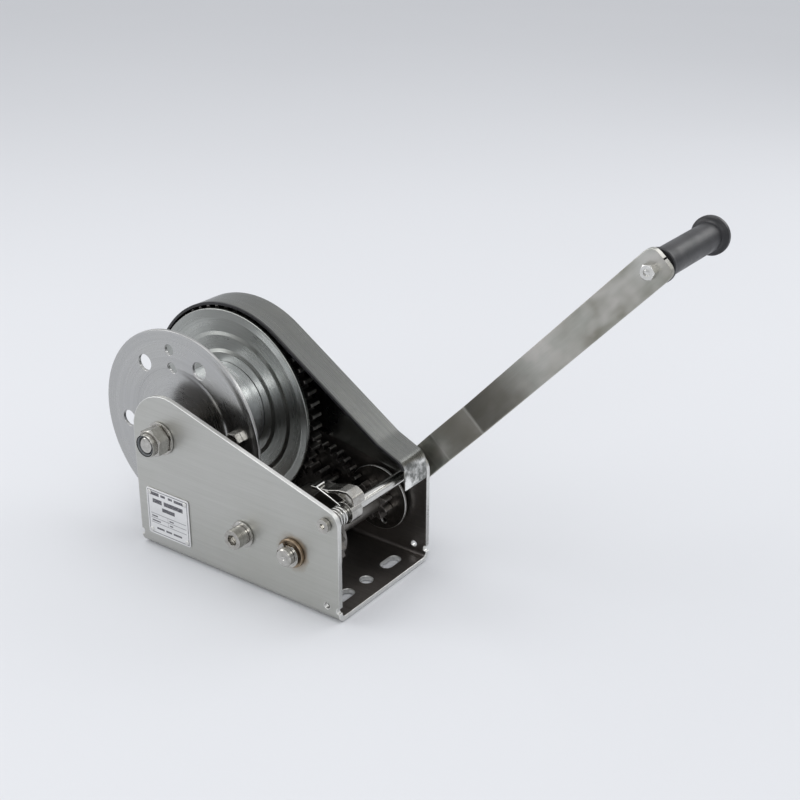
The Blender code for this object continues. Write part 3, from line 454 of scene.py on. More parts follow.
class Graph:
    """Adds nodes to a tree: values go to sockets by name, and a socket given as a value is linked."""

    def __init__(self, tree):
        """Takes the tree to work in."""
        self.tree = tree

    def add(self, kind, values=None, **settings):
        """A node of that kind, with its settings and inputs."""
        made = self.tree.nodes.new("ShaderNode" + kind)
        for name, value in settings.items():
            setattr(made, name, value)
        for name, value in (values or {}).items():
            if isinstance(value, bpy.types.NodeSocket):
                self.tree.links.new(value, made.inputs[name])
            else:
                made.inputs[name].default_value = value
        return made

    def maths(self, operation, a, b=0.0, c=0.0, clamp=False):
        """The result of one sum on values or sockets."""
        return self.add("Math", {0: a, 1: b, 2: c}, operation=operation, use_clamp=clamp).outputs[0]

    def span(self, value, low, high, to_low=0.0, to_high=1.0):
        """Low to high of a value, carried to a new span."""
        return self.add("MapRange", {
            "Value": value, "From Min": low, "From Max": high, "To Min": to_low, "To Max": to_high,
        }).outputs[0]

    def blend(self, share, a, b):
        """Colour a at share 0 and b at share 1."""
        made = self.add("Mix", {}, data_type="RGBA")
        for socket, value in zip((made.inputs[0], made.inputs[6], made.inputs[7]), (share, a, b)):
            if isinstance(value, bpy.types.NodeSocket):
                self.tree.links.new(value, socket)
            else:
                socket.default_value = value
        return made.outputs[2]

    def noise(self, vector, scale, detail=3.0, roughness=0.5):
        """Smooth noise between about 0 and 1."""
        values = {"Vector": vector, "Scale": scale, "Detail": detail, "Roughness": roughness}
        return self.add("TexNoise", values).outputs[0]


def effect(name, inputs, outputs, build):
    """A shader node group, made once: build gets its graph and input sockets and returns its outputs."""
    if name in bpy.data.node_groups:
        return bpy.data.node_groups[name]
    tree = bpy.data.node_groups.new(name, "ShaderNodeTree")
    for label, kind in inputs:
        tree.interface.new_socket(name=label, in_out="INPUT", socket_type="NodeSocket" + kind)
    for label, kind in outputs:
        tree.interface.new_socket(name=label, in_out="OUTPUT", socket_type="NodeSocket" + kind)
    start, end = tree.nodes.new("NodeGroupInput"), tree.nodes.new("NodeGroupOutput")
    found = build(Graph(tree), start.outputs)
    for label, socket in found.items():
        tree.links.new(socket, end.inputs[label])
    return tree


def build_grain(g, given):
    """Fine streaks: noise on coordinates stretched by Stretch, added to a coarser set."""
    factors = {0: given["Vector"], 1: given["Stretch"]}
    stretched = g.add("VectorMath", factors, operation="MULTIPLY").outputs[0]
    fine, broad = g.noise(stretched, 1.0, 4.0, 0.65), g.noise(stretched, 0.23, 2.0)
    both = g.maths("ADD", g.maths("MULTIPLY", fine, 0.65), g.maths("MULTIPLY", broad, 0.35))
    return {"Streak": g.span(both, 0.32, 0.68)}


def build_turning(g, given):
    """Turned rings: noise on the distance from the shaft, with a slow drift round it."""
    parts = g.add("SeparateXYZ", {0: given["Vector"]}).outputs
    away = g.maths(
        "SQRT",
        g.maths("ADD", g.maths("MULTIPLY", parts[0], parts[0]), g.maths("MULTIPLY", parts[2], parts[2])))
    ring = g.add("CombineXYZ", {
        0: g.maths("MULTIPLY", away, given["Rings"]), 1: g.maths("MULTIPLY", parts[0], 9.0),
        2: g.maths("MULTIPLY", parts[2], 9.0)}).outputs[0]
    return {"Streak": g.span(g.noise(ring, 1.0, 4.0, 0.6), 0.3, 0.7), "Radius": away}


def build_soiling(g, given):
    """Handling marks: broad cloudy patches, broken up by a finer noise."""
    cloud = g.noise(given["Vector"], given["Scale"], 4.0, 0.55)
    fine = g.noise(given["Vector"], g.maths("MULTIPLY", given["Scale"], 9.0), 3.0)
    mixed = g.maths("ADD", cloud, g.maths("MULTIPLY", g.maths("SUBTRACT", fine, 0.5), 0.25))
    return {"Mask": g.span(mixed, 0.42, 0.68), "Speck": g.span(fine, 0.62, 0.74)}


def grain_group():
    """The streaks that brushing leaves."""
    return effect(
        "brushed grain", [("Vector", "Vector"), ("Stretch", "Vector")], [("Streak", "Float")],
        build_grain)


def turning_group():
    """The rings that turning leaves, and the distance from the shaft."""
    return effect("turned rings", [("Vector", "Vector"), ("Rings", "Float")],
                  [("Streak", "Float"), ("Radius", "Float")], build_turning)


def soiling_group():
    """The marks that handling leaves."""
    return effect("handling marks", [("Vector", "Vector"), ("Scale", "Float")],
                  [("Mask", "Float"), ("Speck", "Float")], build_soiling)


def group(g, tree, values):
    """Places a node group with its own values, and gives its outputs."""
    made = g.tree.nodes.new("ShaderNodeGroup")
    made.node_tree = tree
    for name, value in values.items():
        if isinstance(value, bpy.types.NodeSocket):
            g.tree.links.new(value, made.inputs[name])
        else:
            made.inputs[name].default_value = value
    return made.outputs


def rgb(*values):
    """A colour with full cover."""
    return (*values, 1.0)


def new_finish(name, metallic, **constants):
    """A material with its graph, its Principled node and Object coordinates."""
    made = bpy.data.materials.new(name)
    made.use_nodes = True
    graph = Graph(made.node_tree)
    shader = made.node_tree.nodes["Principled BSDF"]
    shader.inputs["Metallic"].default_value = metallic
    for label, value in constants.items():
        shader.inputs[label.replace("_", " ")].default_value = value
    place = graph.add("TexCoord").outputs["Object"]
    return made, graph, shader, place


def dress(g, shader, tone, rough, height=None, strength=0.0, depth=0.0002):
    """Feeds a colour, a roughness and, where there is relief, a bump to the shader."""
    g.tree.links.new(tone, shader.inputs["Base Color"])
    g.tree.links.new(rough, shader.inputs["Roughness"])
    if height is not None:
        relief = g.add("Bump", {"Strength": strength, "Distance": depth, "Height": height})
        g.tree.links.new(relief.outputs[0], shader.inputs["Normal"])


def centred(g, place, at):
    """Object coordinates counted from a shaft's axis."""
    offset = (-at[0] * MM, 0.0, -at[1] * MM)
    return g.add("Mapping", {"Vector": place, "Location": offset}).outputs[0]


def metal(name, light, dark, rough, stretch=None, turned_at=None, rings=900.0, soil=None, soil_scale=14.0,
          soil_share=0.35, spread=0.06, bump=0.05, painted_glare=None):
    """A worked metal: streaks or turned rings between two tones, with handling marks over them.

    A painted highlight (from x, to x, colour) is a cloudy glare painted into the colour, growing between
    those places.
    """
    made, g, shader, place = new_finish(name, 1.0)
    if turned_at:
        tree, values = turning_group(), {"Vector": centred(g, place, turned_at), "Rings": rings}
    else:
        tree, values = grain_group(), {"Vector": place, "Stretch": stretch or (300, 300, 300)}
    streak = group(g, tree, values)["Streak"]
    marks = group(g, soiling_group(), {"Vector": place, "Scale": soil_scale})
    share = g.maths("MULTIPLY", marks["Mask"], soil_share)
    tone = g.blend(streak, rgb(*dark), rgb(*light))
    tone = g.blend(share, tone, rgb(*(soil or dark)))
    if painted_glare:
        # Painted highlight: a cloudy bright glare painted into the colour between the two places along x.
        x = g.add("SeparateXYZ", {0: place}).outputs[0]
        glare_blotch = g.span(g.noise(place, 85.0, 3.0, 0.6), 0.42, 0.60)
        tone = g.blend(
            g.maths("MULTIPLY", g.span(x, painted_glare[0] * MM, painted_glare[1] * MM), glare_blotch), tone, rgb(*painted_glare[2]))
    tune = g.maths(
        "ADD", g.span(streak, 0, 1, rough + spread, rough - spread), g.maths("MULTIPLY", share, 0.25))
    dress(g, shader, tone, tune, streak, bump)
    return made


def gear_finish(name, at, land_from, bare=1.0):
    """Dark oiled steel, lighter as bare rises, its tooth lands rubbed bright past land_from."""
    made, g, shader, place = new_finish(name, 1.0)
    rings = group(g, turning_group(), {"Vector": centred(g, place, at), "Rings": 500.0})
    marks = group(g, soiling_group(), {"Vector": place, "Scale": 60.0})
    land = g.span(rings["Radius"], (land_from - 0.7) * MM, (land_from + 0.1) * MM)
    land = g.maths("MULTIPLY", land, g.span(marks["Mask"], 0.0, 0.7, 1.0, 0.35))
    oil = g.blend(
        marks["Mask"], rgb(0.11 * bare, 0.105 * bare, 0.10 * bare),
        rgb(0.032 * bare, 0.028 * bare, 0.026 * bare))
    tone = g.blend(land, oil, rgb(0.42, 0.41, 0.39))
    dress(g, shader, tone, g.span(marks["Mask"], 0, 1, 0.32, 0.55), marks["Mask"], 0.3, 0.0003)
    return made


def matt_finish(name, light, dark, rough, scale, bump, **constants):
    """Moulded plastic, rubber or lining: a fine grain in colour, gloss and height."""
    made, g, shader, place = new_finish(name, 0.0, **constants)
    grain = g.noise(place, scale, 4.0, 0.6)
    marks = group(g, soiling_group(), {"Vector": place, "Scale": 45.0})
    tone = g.blend(g.span(grain, 0.35, 0.65), rgb(*dark), rgb(*light))
    tone = g.blend(g.maths("MULTIPLY", marks["Speck"], 0.25), tone, rgb(*(2.2 * c + 0.02 for c in light)))
    dress(g, shader, tone, g.span(marks["Mask"], 0, 1, rough, rough + 0.16), grain, bump, 0.0003)
    return made


def arm_finish():
    """Brushed bar: streaks along its length, warm and olive clouds, and creases at the set."""
    made, g, shader, place = new_finish("crank arm steel", 1.0)
    level = g.add(
        "Mapping", {"Vector": place, "Location": (-CRANK[0] * MM, 0.0, -CRANK[1] * MM)},
        vector_type="POINT")
    turn = g.add("Mapping", {"Vector": level.outputs[0], "Rotation": (0.0, ARM_ANGLE, 0.0)}).outputs[0]
    streak = group(g, grain_group(), {"Vector": turn, "Stretch": (60.0, 900.0, 1400.0)})["Streak"]
    slow = g.add("VectorMath", {0: turn, 1: (13.0, 8.0, 22.0)}, operation="MULTIPLY").outputs[0]
    cloud, other = g.noise(slow, 1.0, 3.0, 0.6), g.noise(slow, 2.6, 2.0)
    along = g.add("SeparateXYZ", {0: turn}).outputs[0]
    tone = g.blend(streak, rgb(0.42, 0.425, 0.39), rgb(0.50, 0.505, 0.47))
    tone = g.blend(g.span(cloud, 0.40, 0.66), tone, rgb(0.25, 0.24, 0.20))
    tone = g.blend(g.span(other, 0.52, 0.75, 0.0, 0.7), tone, rgb(0.62, 0.60, 0.57))
    lower = g.maths("MULTIPLY", g.span(along, 0.14, 0.19, 1.0, 0.0), g.span(along, 0.055, 0.085))
    tone = g.blend(g.maths("MULTIPLY", lower, 0.65), tone, rgb(0.18, 0.165, 0.14))
    bright = g.maths(
        "MULTIPLY", within(g, along, 0.185, 0.215, 0.018), g.span(other, 0.35, 0.6, 0.2, 1.0))
    tone = g.blend(g.maths("MULTIPLY", bright, 0.7), tone, rgb(0.66, 0.62, 0.585))
    creases = 0.0
    for spot, width in ((0.052, 0.0016), (0.066, 0.0012), (0.102, 0.0018)):
        near = g.maths("ABSOLUTE", g.maths("SUBTRACT", along, spot))
        line = g.span(near, 0.0, width, 1.0, 0.0)
        creases = g.maths("MAXIMUM", line, creases)
    tone = g.blend(g.maths("MULTIPLY", creases, 0.55), tone, rgb(0.62, 0.61, 0.57))
    dress(g, shader, tone, g.span(cloud, 0.3, 0.7, 0.30, 0.44), streak, 0.05)
    return made


def within(g, value, low, high, soft=0.0001):
    """1 where value lies from low to high, with soft edges."""
    rise = g.span(value, low - soft, low + soft)
    fall = g.span(value, high - soft, high + soft, 1.0, 0.0)
    return g.maths("MULTIPLY", rise, fall)


PLATE_PRINT = (  # bars of the name plate as shares of its width and height: left, right, low, high
    (0.07, 0.30, 0.86, 0.93), (0.34, 0.45, 0.87, 0.92), (0.52, 0.62, 0.87, 0.92),
    (0.66, 0.93, 0.86, 0.92), (0.14, 0.36, 0.70, 0.79), (0.41, 0.86, 0.70, 0.79),
    (0.36, 0.66, 0.56, 0.64), (0.08, 0.92, 0.455, 0.465), (0.08, 0.92, 0.355, 0.365),
    (0.08, 0.92, 0.255, 0.265), (0.10, 0.24, 0.39, 0.42), (0.10, 0.30, 0.29, 0.32),
    (0.52, 0.62, 0.39, 0.42), (0.52, 0.60, 0.29, 0.32), (0.48, 0.486, 0.255, 0.465),
    (0.20, 0.38, 0.13, 0.17), (0.42, 0.56, 0.13, 0.17), (0.60, 0.80, 0.13, 0.17),
)


def print_finish():
    """Anodised plate with a thin border and plain bars in place of any wording."""
    made, g, shader, place = new_finish("printed name plate", 0.65)
    low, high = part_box("name_plate")
    parts = g.add("SeparateXYZ", {0: place}).outputs
    across, up = g.span(parts[0], low.x, high.x), g.span(parts[2], low.z, high.z)
    ink = 0.0
    for left, right, bottom, top in PLATE_PRINT:
        bar = g.maths(
            "MULTIPLY", within(g, across, left, right, 0.004), within(g, up, bottom, top, 0.004))
        ink = g.maths("MAXIMUM", bar, ink)
    frame_in = g.maths(
        "MULTIPLY", within(g, across, 0.045, 0.955, 0.004), within(g, up, 0.05, 0.95, 0.004))
    frame_out = g.maths(
        "MULTIPLY", within(g, across, 0.028, 0.972, 0.004), within(g, up, 0.031, 0.969, 0.004))
    border = g.maths("SUBTRACT", frame_out, frame_in, clamp=True)
    marks = group(g, soiling_group(), {"Vector": place, "Scale": 50.0})
    worn = g.span(g.noise(place, 1400.0, 2.0), 0.40, 0.60, 0.75, 1.0)
    ink = g.maths("MULTIPLY", g.maths("MAXIMUM", ink, g.maths("MULTIPLY", border, 0.8)), worn)
    tone = g.blend(g.maths("MULTIPLY", marks["Mask"], 0.4), rgb(0.80, 0.80, 0.80), rgb(0.60, 0.60, 0.61))
    tone = g.blend(ink, tone, rgb(0.07, 0.07, 0.085))
    dress(g, shader, tone, g.span(ink, 0, 1, 0.42, 0.6))
    return made


def stained_plate(name):
    """The side plates: level brushing, cloudy marks and a brown stain round the crank bushing."""
    made, g, shader, place = new_finish(name, 1.0)
    streak = group(g, grain_group(), {"Vector": place, "Stretch": (25.0, 700.0, 1500.0)})["Streak"]
    marks = group(g, soiling_group(), {"Vector": place, "Scale": 9.0})
    tone = g.blend(streak, rgb(0.475, 0.475, 0.45), rgb(0.53, 0.53, 0.505))
    tone = g.blend(g.maths("MULTIPLY", marks["Mask"], 0.35), tone, rgb(0.44, 0.445, 0.40))
    axis = centred(g, place, CRANK)
    away = group(g, turning_group(), {"Vector": axis, "Rings": 100.0})["Radius"]
    parts = g.add("SeparateXYZ", {0: axis}).outputs
    ragged = g.maths(
        "ADD", away, g.maths("MULTIPLY", g.maths("SUBTRACT", g.noise(place, 220.0, 3.0), 0.5), 0.006))
    halo = g.span(ragged, 0.0115, 0.0165, 0.75, 0.0)
    halo = g.maths("MULTIPLY", halo, g.span(parts[0], -0.012, 0.012, 0.35, 1.0))
    tone = g.blend(halo, tone, rgb(0.30, 0.235, 0.165))
    rough = g.maths("ADD", g.span(streak, 0, 1, 0.42, 0.33), g.maths("MULTIPLY", marks["Mask"], 0.05))
    dress(g, shader, tone, rough, streak, 0.035)
    return made


FINISHES = {}


def make_finishes(settings):
    """Every finish, by the name that the pieces ask for."""
    warm = settings.soil_colour
    FINISHES.update({
        "plate": stained_plate("brushed side plate"),
        # Painted shade: the channel's inside faces are much darker than the plate's outside, standing in
        # for the shade and dark reflections inside the channel.
        "inside": metal(
            "unbrushed inside with painted shade", (0.28, 0.26, 0.245), (0.20, 0.182, 0.172), 0.38,
            stretch=(40, 500, 900), soil=(0.13, 0.115, 0.105), soil_scale=16.0),
        # Partly a painted highlight: cut edges are lighter in themselves, and are lightened further here
        # for the bright line that rounded edges catch from the lights.
        "edge": metal(
            "highlight-painted cut edge", (0.80, 0.80, 0.78), (0.62, 0.62, 0.60), 0.30,
            stretch=(900, 900, 900), bump=0.03),
        # The cover's front end carries a painted highlight: a cloudy bright glare painted into its
        # colour.
        "cover": metal(
            "brushed cover with painted glare", (0.23, 0.235, 0.225), (0.165, 0.168, 0.16), 0.28,
            stretch=(20, 1500, 20), soil=tuple(warm), soil_scale=11.0, soil_share=0.25,
            painted_glare=(96.5, 99.0, (0.92, 0.92, 0.90))),
        "flange": metal(
            "polished flange", (0.50, 0.50, 0.49), (0.42, 0.42, 0.412), 0.24,
            turned_at=DRUM, rings=1600.0, soil=(0.44, 0.44, 0.45), soil_scale=13.0,
            soil_share=0.4, spread=0.04, bump=0.025),
        "dish": metal(
            "turned flange", (0.42, 0.43, 0.41), (0.35, 0.36, 0.345), 0.27,
            turned_at=DRUM, rings=1100.0, soil=(0.32, 0.32, 0.30), soil_scale=10.0,
            soil_share=0.35, spread=0.04, bump=0.02),
        "barrel": metal(
            "bright barrel", (0.92, 0.93, 0.95), (0.80, 0.82, 0.84), 0.27,
            stretch=(25, 900, 25), soil=(0.48, 0.50, 0.52), soil_scale=40.0, soil_share=0.5),
        "bright": metal(
            "bright steel", (0.82, 0.82, 0.80), (0.64, 0.64, 0.62), 0.14,
            stretch=(400, 60, 400), soil=(0.45, 0.43, 0.40), soil_scale=40.0,
            soil_share=0.3, spread=0.04),
        "hardware": metal(
            "plated hardware", (0.62, 0.61, 0.58), (0.38, 0.37, 0.35), 0.17,
            stretch=(260, 260, 260), soil=(0.24, 0.22, 0.19), soil_scale=70.0, soil_share=0.5),
        "dull": metal(
            "dull steel", (0.34, 0.33, 0.31), (0.20, 0.19, 0.18), 0.34,
            turned_at=CRANK, rings=1500.0, soil=(0.08, 0.07, 0.06), soil_scale=60.0,
            soil_share=0.6),
        "disc": metal(
            "oiled disc", (0.20, 0.19, 0.175), (0.11, 0.10, 0.095), 0.30,
            turned_at=CRANK, rings=1500.0, soil=(0.045, 0.04, 0.036), soil_scale=70.0,
            soil_share=0.7),
        "hub": metal(
            "hub steel", (0.40, 0.39, 0.37), (0.26, 0.25, 0.24), 0.32,
            turned_at=DRUM, rings=1400.0, soil=(0.12, 0.10, 0.09), soil_scale=60.0),
        "cup": metal(
            "turned cup", (0.52, 0.52, 0.50), (0.40, 0.40, 0.38), 0.30,
            turned_at=CRANK, rings=1300.0, soil=tuple(warm), soil_scale=20.0, soil_share=0.3),
        "bronze": metal(
            "bronze bush", (0.46, 0.37, 0.27), (0.24, 0.18, 0.125), 0.30,
            turned_at=CRANK, rings=1600.0, soil=(0.10, 0.07, 0.045), soil_scale=90.0,
            soil_share=0.6),
        "drum gear": gear_finish("drum gear teeth", DRUM, 81.1),
        "middle gear": gear_finish("middle gear teeth", MIDDLE, 35.9),
        "small gear": gear_finish("small pinion teeth", MIDDLE, 21.0),
        "crank gear": gear_finish("crank pinion teeth", CRANK, 15.4, 3.0),
        "arm": arm_finish(),
        "print": print_finish(),
        "lining": matt_finish(
            "friction lining", (0.12, 0.085, 0.06), (0.05, 0.035, 0.028), 0.8, 900.0, 0.4),
        "trim": matt_finish(
            "black strip", (0.016, 0.016, 0.018), (0.008, 0.008, 0.009), 0.32, 300.0, 0.05),
        "grip": matt_finish(
            "moulded grip", tuple(settings.grip_colour), (0.008, 0.008, 0.010), 0.34, 1800.0, 0.25),
        "nylon": matt_finish("nylon ring", (0.20, 0.21, 0.22), (0.12, 0.125, 0.13), 0.4, 600.0, 0.1),
    })


# ---- the pieces: frame and cover ----------------------------------------------------------------

BEND_LINE = HALF_WIDTH - 7.0
FLAT_STEP = BEND_LINE + BEND_MID * pi / 2 - 7.0  # height plus this is the place on the flat pattern
FOLD_LINES = [BEND_LINE + BEND_MID * pi / 2 * k / 6 for k in range(7)]
FRONT_TOP, REAR_TOP = 87.29, 146.5
NOTCH_LOW, NOTCH_TOP, NOTCH_DEEP = 7.9, 12.6, 2.4  # relief notches at the ends of each side
COVER_R = 84.2
RIVETS_FAR = ((78.0, 85.0), (-20.0, 108.0), (-90.0, 84.0))


def fold(points, normals):
    """Folds the flat pattern (x, height over the middle, place across): past the bend line the
    sheet's middle runs round a quarter circle, then straight up.
    """
    s, h = points[:, 2], points[:, 1]
    side = np.where(s < 0, -1.0, 1.0)
    past = np.abs(s) - BEND_LINE
    phi = np.clip(past / BEND_MID, 0, pi / 2)
    up = SHEET / 2 + BEND_MID * (1 - np.cos(phi)) + np.maximum(past - BEND_MID * pi / 2, 0)
    out = np.minimum(np.abs(s), BEND_LINE) + BEND_MID * np.sin(phi)
    inward_y, inward_z = -np.sin(phi) * side, np.cos(phi)
    along_y, along_z = np.cos(phi), np.sin(phi) * side
    made = np.stack([points[:, 0], out * side + h * inward_y, up + h * inward_z], 1)
    turned_normals = np.stack([
        normals[:, 0], normals[:, 1] * inward_y + normals[:, 2] * along_y,
        normals[:, 1] * inward_z + normals[:, 2] * along_z], 1)
    return made, turned_normals


def make_frame(size):
    """The side frame: the flat pattern with its slots, holes, notches and rounds, folded to a channel."""
    a, b = HALF_LENGTH, FLAT_STEP
    outline, radii = [], []
    for end, top, corner in ((1, FRONT_TOP, FRONT_R), (-1, REAR_TOP, LOBE_R)):
        edge, notch = end * a, end * (a - NOTCH_DEEP)
        half = [(edge, b + top), (edge, b + NOTCH_TOP), (notch, b + NOTCH_TOP),
                (notch, b + NOTCH_LOW), (edge, b + NOTCH_LOW)]
        half += [(edge, line) for line in FOLD_LINES[::-1]]
        half_r = [corner, 0, 1.6, 1.6, 0] + [0] * len(FOLD_LINES)
        for side in (-end, end):
            row = [(x, side * s) for x, s in half]
            outline += row[::side * -end]
            radii += half_r[::side * -end]
    p, n = rounded(outline, radii, 10)
    cuts = []
    for side in (-1, 1):
        for line in FOLD_LINES:
            away = [np.hypot(p[:, 0] - x, p[:, 1] - side * line) for x in (a, -a)]
            cuts.append([int(np.argmin(d)) for d in away])
    holes = [slot_loop(x, y, 10, 20, 4.9) for x in (82.6, -80.0) for y in (29.5, -29.5)]
    holes += [circle(83.0, -2.0, 5.1, 40), circle(-80.0, 0.0, 5.0, 40)]
    for side in (-1, 1):
        for (x, z), r in ((DRUM, 7.1), (MIDDLE, 5.3), (CRANK, 10.0), (ROD, 3.4), ((88.5, 11.5), 2.4)):
            holes.append(circle(x, side * (z + b), r, 48))
    holes += [circle(x, z + b, 2.4, 24) for x, z in RIVETS_FAR]
    skin = plate((p, n), holes, -SHEET / 2, SHEET / 2, size.edge, 4, cuts, (1, 0), 2)
    # The inside faces carry a painted shade and the cut edges a painted highlight.
    piece("frame_channel", skin.moved(fold), "plate", "inside", "edge")


def cover_line(out=0.0):
    """The cover's outer line: up the front, along the slope, then round the drum to its back."""
    round_drum = arc(*DRUM, COVER_R, radians(56.58), radians(200), 80)
    points = [(99.5, 73.0), (99.5, 94.0), (74.0, 105.4), *round_drum]
    p, n = rounded(points, [0, 12, 30] + [0] * len(round_drum), 14, closed=False)
    return p + n * out


def strip(path, thick):
    """The closed outline of a strip of sheet whose outer side is path."""
    p = np.asarray(path)
    run = unit(np.gradient(p, axis=0))
    inner = p - np.stack([run[:, 1], -run[:, 0]], 1) * thick
    radii = np.zeros(2 * len(p))
    radii[[0, len(p) - 1, len(p), -1]] = 0.45
    return rounded(np.concatenate([p, inner[::-1]]), radii, 3)


def make_cover(size):
    """The cover: a wall with its holes, a band round its edge, the black strip and the rivets."""
    line = cover_line()
    wall = np.concatenate([cover_line(-0.3), [(-62.0, 71.8), (-40.0, 92.0), (74.0, 71.4), (94.0, 71.4)]])
    wall_r = np.zeros(len(wall))
    wall_r[-4:] = 3.0
    holes = [circle(*DRUM, 7.5, 48), circle(*ROD, 5.1, 40)] + [
        circle(x, z, 2.4, 24) for x, z in RIVETS_FAR]
    band = plate(strip(line, 1.6), [], 25.2, 52.2, 0.4, 3)
    piece("gear_cover", [plate(rounded(wall, wall_r, 4), holes, 50.6, 52.15, 0.3), band], "cover")
    piece("cover_edge_trim", plate(strip(cover_line(0.2)[5:], 2.4), [], 23.3, 24.9, 0.4), "trim")
    for k, at in enumerate(RIVETS_FAR):
        head = [(0, 50.0), (2.1, 50.0), (2.1, 56.75), (4.2, 56.75), (4.0, 57.6), (2.6, 58.4), (0, 58.7)]
        piece(f"cover_rivet_{k + 1}", turned(head, at, [0, 0.2, 0, 0.3, 0.5, 1.0, 0], 32), "hardware")


def make_name_plate(size):
    """The name plate and the rivets in its corners."""
    x0, x1, z0, z1 = -90.5, -45.5, 13.0, 53.5
    outline = rounded([(x0, z0), (x1, z0), (x1, z1), (x0, z1)], 2.0, 5)
    piece("name_plate", plate(outline, [], -57.5, -56.7, 0.2), "print")
    spots = [(x0 + 3.5, z0 + 3.5), (x1 - 3.5, z0 + 3.5), (x1 - 3.5, z1 - 3.5), (x0 + 3.5, z1 - 3.5)]
    for k, at in enumerate(spots):
        head = [(0, -53.0), (1.1, -53.0), (1.1, -57.55), (2.2, -57.55), (1.8, -58.3), (0, -58.65)]
        piece(f"name_plate_rivet_{k + 1}", turned(head, at, [0, 0.1, 0, 0.2, 0.6, 0], 24), "bright")


# ---- the pieces: hardware -----------------------------------------------------------------------


def tube(outer, inner, low, high, at, radii=0.3, segments=64, finish=0):
    """A ring of square section about a shaft, its corners softened."""
    return turned(
        [(inner, low), (outer, low), (outer, high), (inner, high)], at, radii, segments, finish=finish)


def bolt_head(flats, low, high, at, face, phase=0.1, finish=0):
    """A hexagon head, chamfered on its outer side, face -1 towards -Y, with a shallow forged dimple."""
    plug = [(0, low + 0.3), (flats * 0.26, low + 0.3), (flats * 0.26, high - 0.3), (0, high - 0.3)]
    crowned = (face < 0, face > 0)
    return [
        hexagonal(flats, low, high, at, flats * 0.25, phase, crowned=crowned, finish=finish),
        turned(plug, at, 0, 32, finish=finish)]


def lock_nut(flats, low, high, at, bore, collar, nylon=1):
    """A nut whose rolled collar holds a nylon ring. collar is its length, negative towards -Y."""
    side, deep = (-1, -collar) if collar < 0 else (1, collar)
    a, b = (low + deep, high) if side < 0 else (low, high - deep)
    c0, c1 = (low, a + 0.2) if side < 0 else (b - 0.2, high)
    ring = (low + 0.5, a) if side < 0 else (b, high - 0.5)
    r = flats / 2 * 0.915
    lip = [(bore + 1.3, c0), (r - 0.9 * (side < 0), c0), (r - 0.9 * (side > 0), c1), (bore + 1.3, c1)]
    return [
        hexagonal(flats, a, b, at, bore, 0.35),
        turned(lip, at, [0.2, 0.8 if side < 0 else 0, 0.8 if side > 0 else 0, 0.2], 48),
        tube(bore + 1.35, bore + 0.05, *ring, at, 0.15, 48, nylon)]


def socket_head(r, low, high, at, flats, deep, face):
    """A cylinder head with a hexagon socket: a plate with a hexagon hole over a solid disc."""
    hexagon = [(at[0] + flats / 2 / cos(pi / 6) * cos(a), at[1] + flats / 2 / cos(pi / 6) * sin(a))
               for a in np.arange(6) * pi / 3 + 0.3]
    top = (low, low + deep) if face < 0 else (high - deep, high)
    rest = (low + deep - 0.01, high) if face < 0 else (low, high - deep + 0.01)
    return [
        plate(circle(*at, r, 64), [rounded(hexagon, 0.25, 2)], *top, 0.25),
        turned([(0, rest[0]), (r, rest[0]), (r, rest[1]), (0, rest[1])], at, [0, 0.05, 0.05, 0], 64)]


PLAIN_RINGS = (  # node, outer and inner radius, lowest and highest y, shaft, finish
    ("drum_axle_washer_far", 13, 7.1, 56.8, 58.3, DRUM, "hardware"),
    ("drum_axle_washer_near", 13.2, 7.1, -58.4, -56.8, DRUM, "hardware"),
    ("drum_spacer_near", 10, 7.1, -52.2, -36.3, DRUM, "hardware"),
    ("drum_spacer_far", 10, 7.1, 39.0, 50.3, DRUM, "hardware"),
    ("intermediate_washer_near", 10.4, 5.4, -58.5, -56.8, MIDDLE, "hardware"),
    ("intermediate_washer_far", 9, 5.4, 56.8, 58.0, MIDDLE, "hardware"),
    ("intermediate_spacer_near", 7.6, 5.4, -52.2, 25.2, MIDDLE, "dull"),
    ("intermediate_spacer_far", 8, 5.4, 47.4, 52.2, MIDDLE, "dull"),
    ("drum_hub_tube", 11, 7.1, -36, 38.7, DRUM, "hub"),
    ("friction_disc_outer", 21.5, 7.4, -36.3, -33.4, CRANK, "lining"),
    ("friction_disc_inner", 21.5, 7.4, -27.6, -24.7, CRANK, "lining"),
    ("crank_washer", 12, 6.1, 71.8, 73.4, CRANK, "hardware"),
)


def make_rings(size):
    """The washers, spacers and discs that are plain rings with softened corners."""
    for node, outer, inner, low, high, at, name in PLAIN_RINGS:
        piece(node, tube(outer, inner, low, high, at), name)


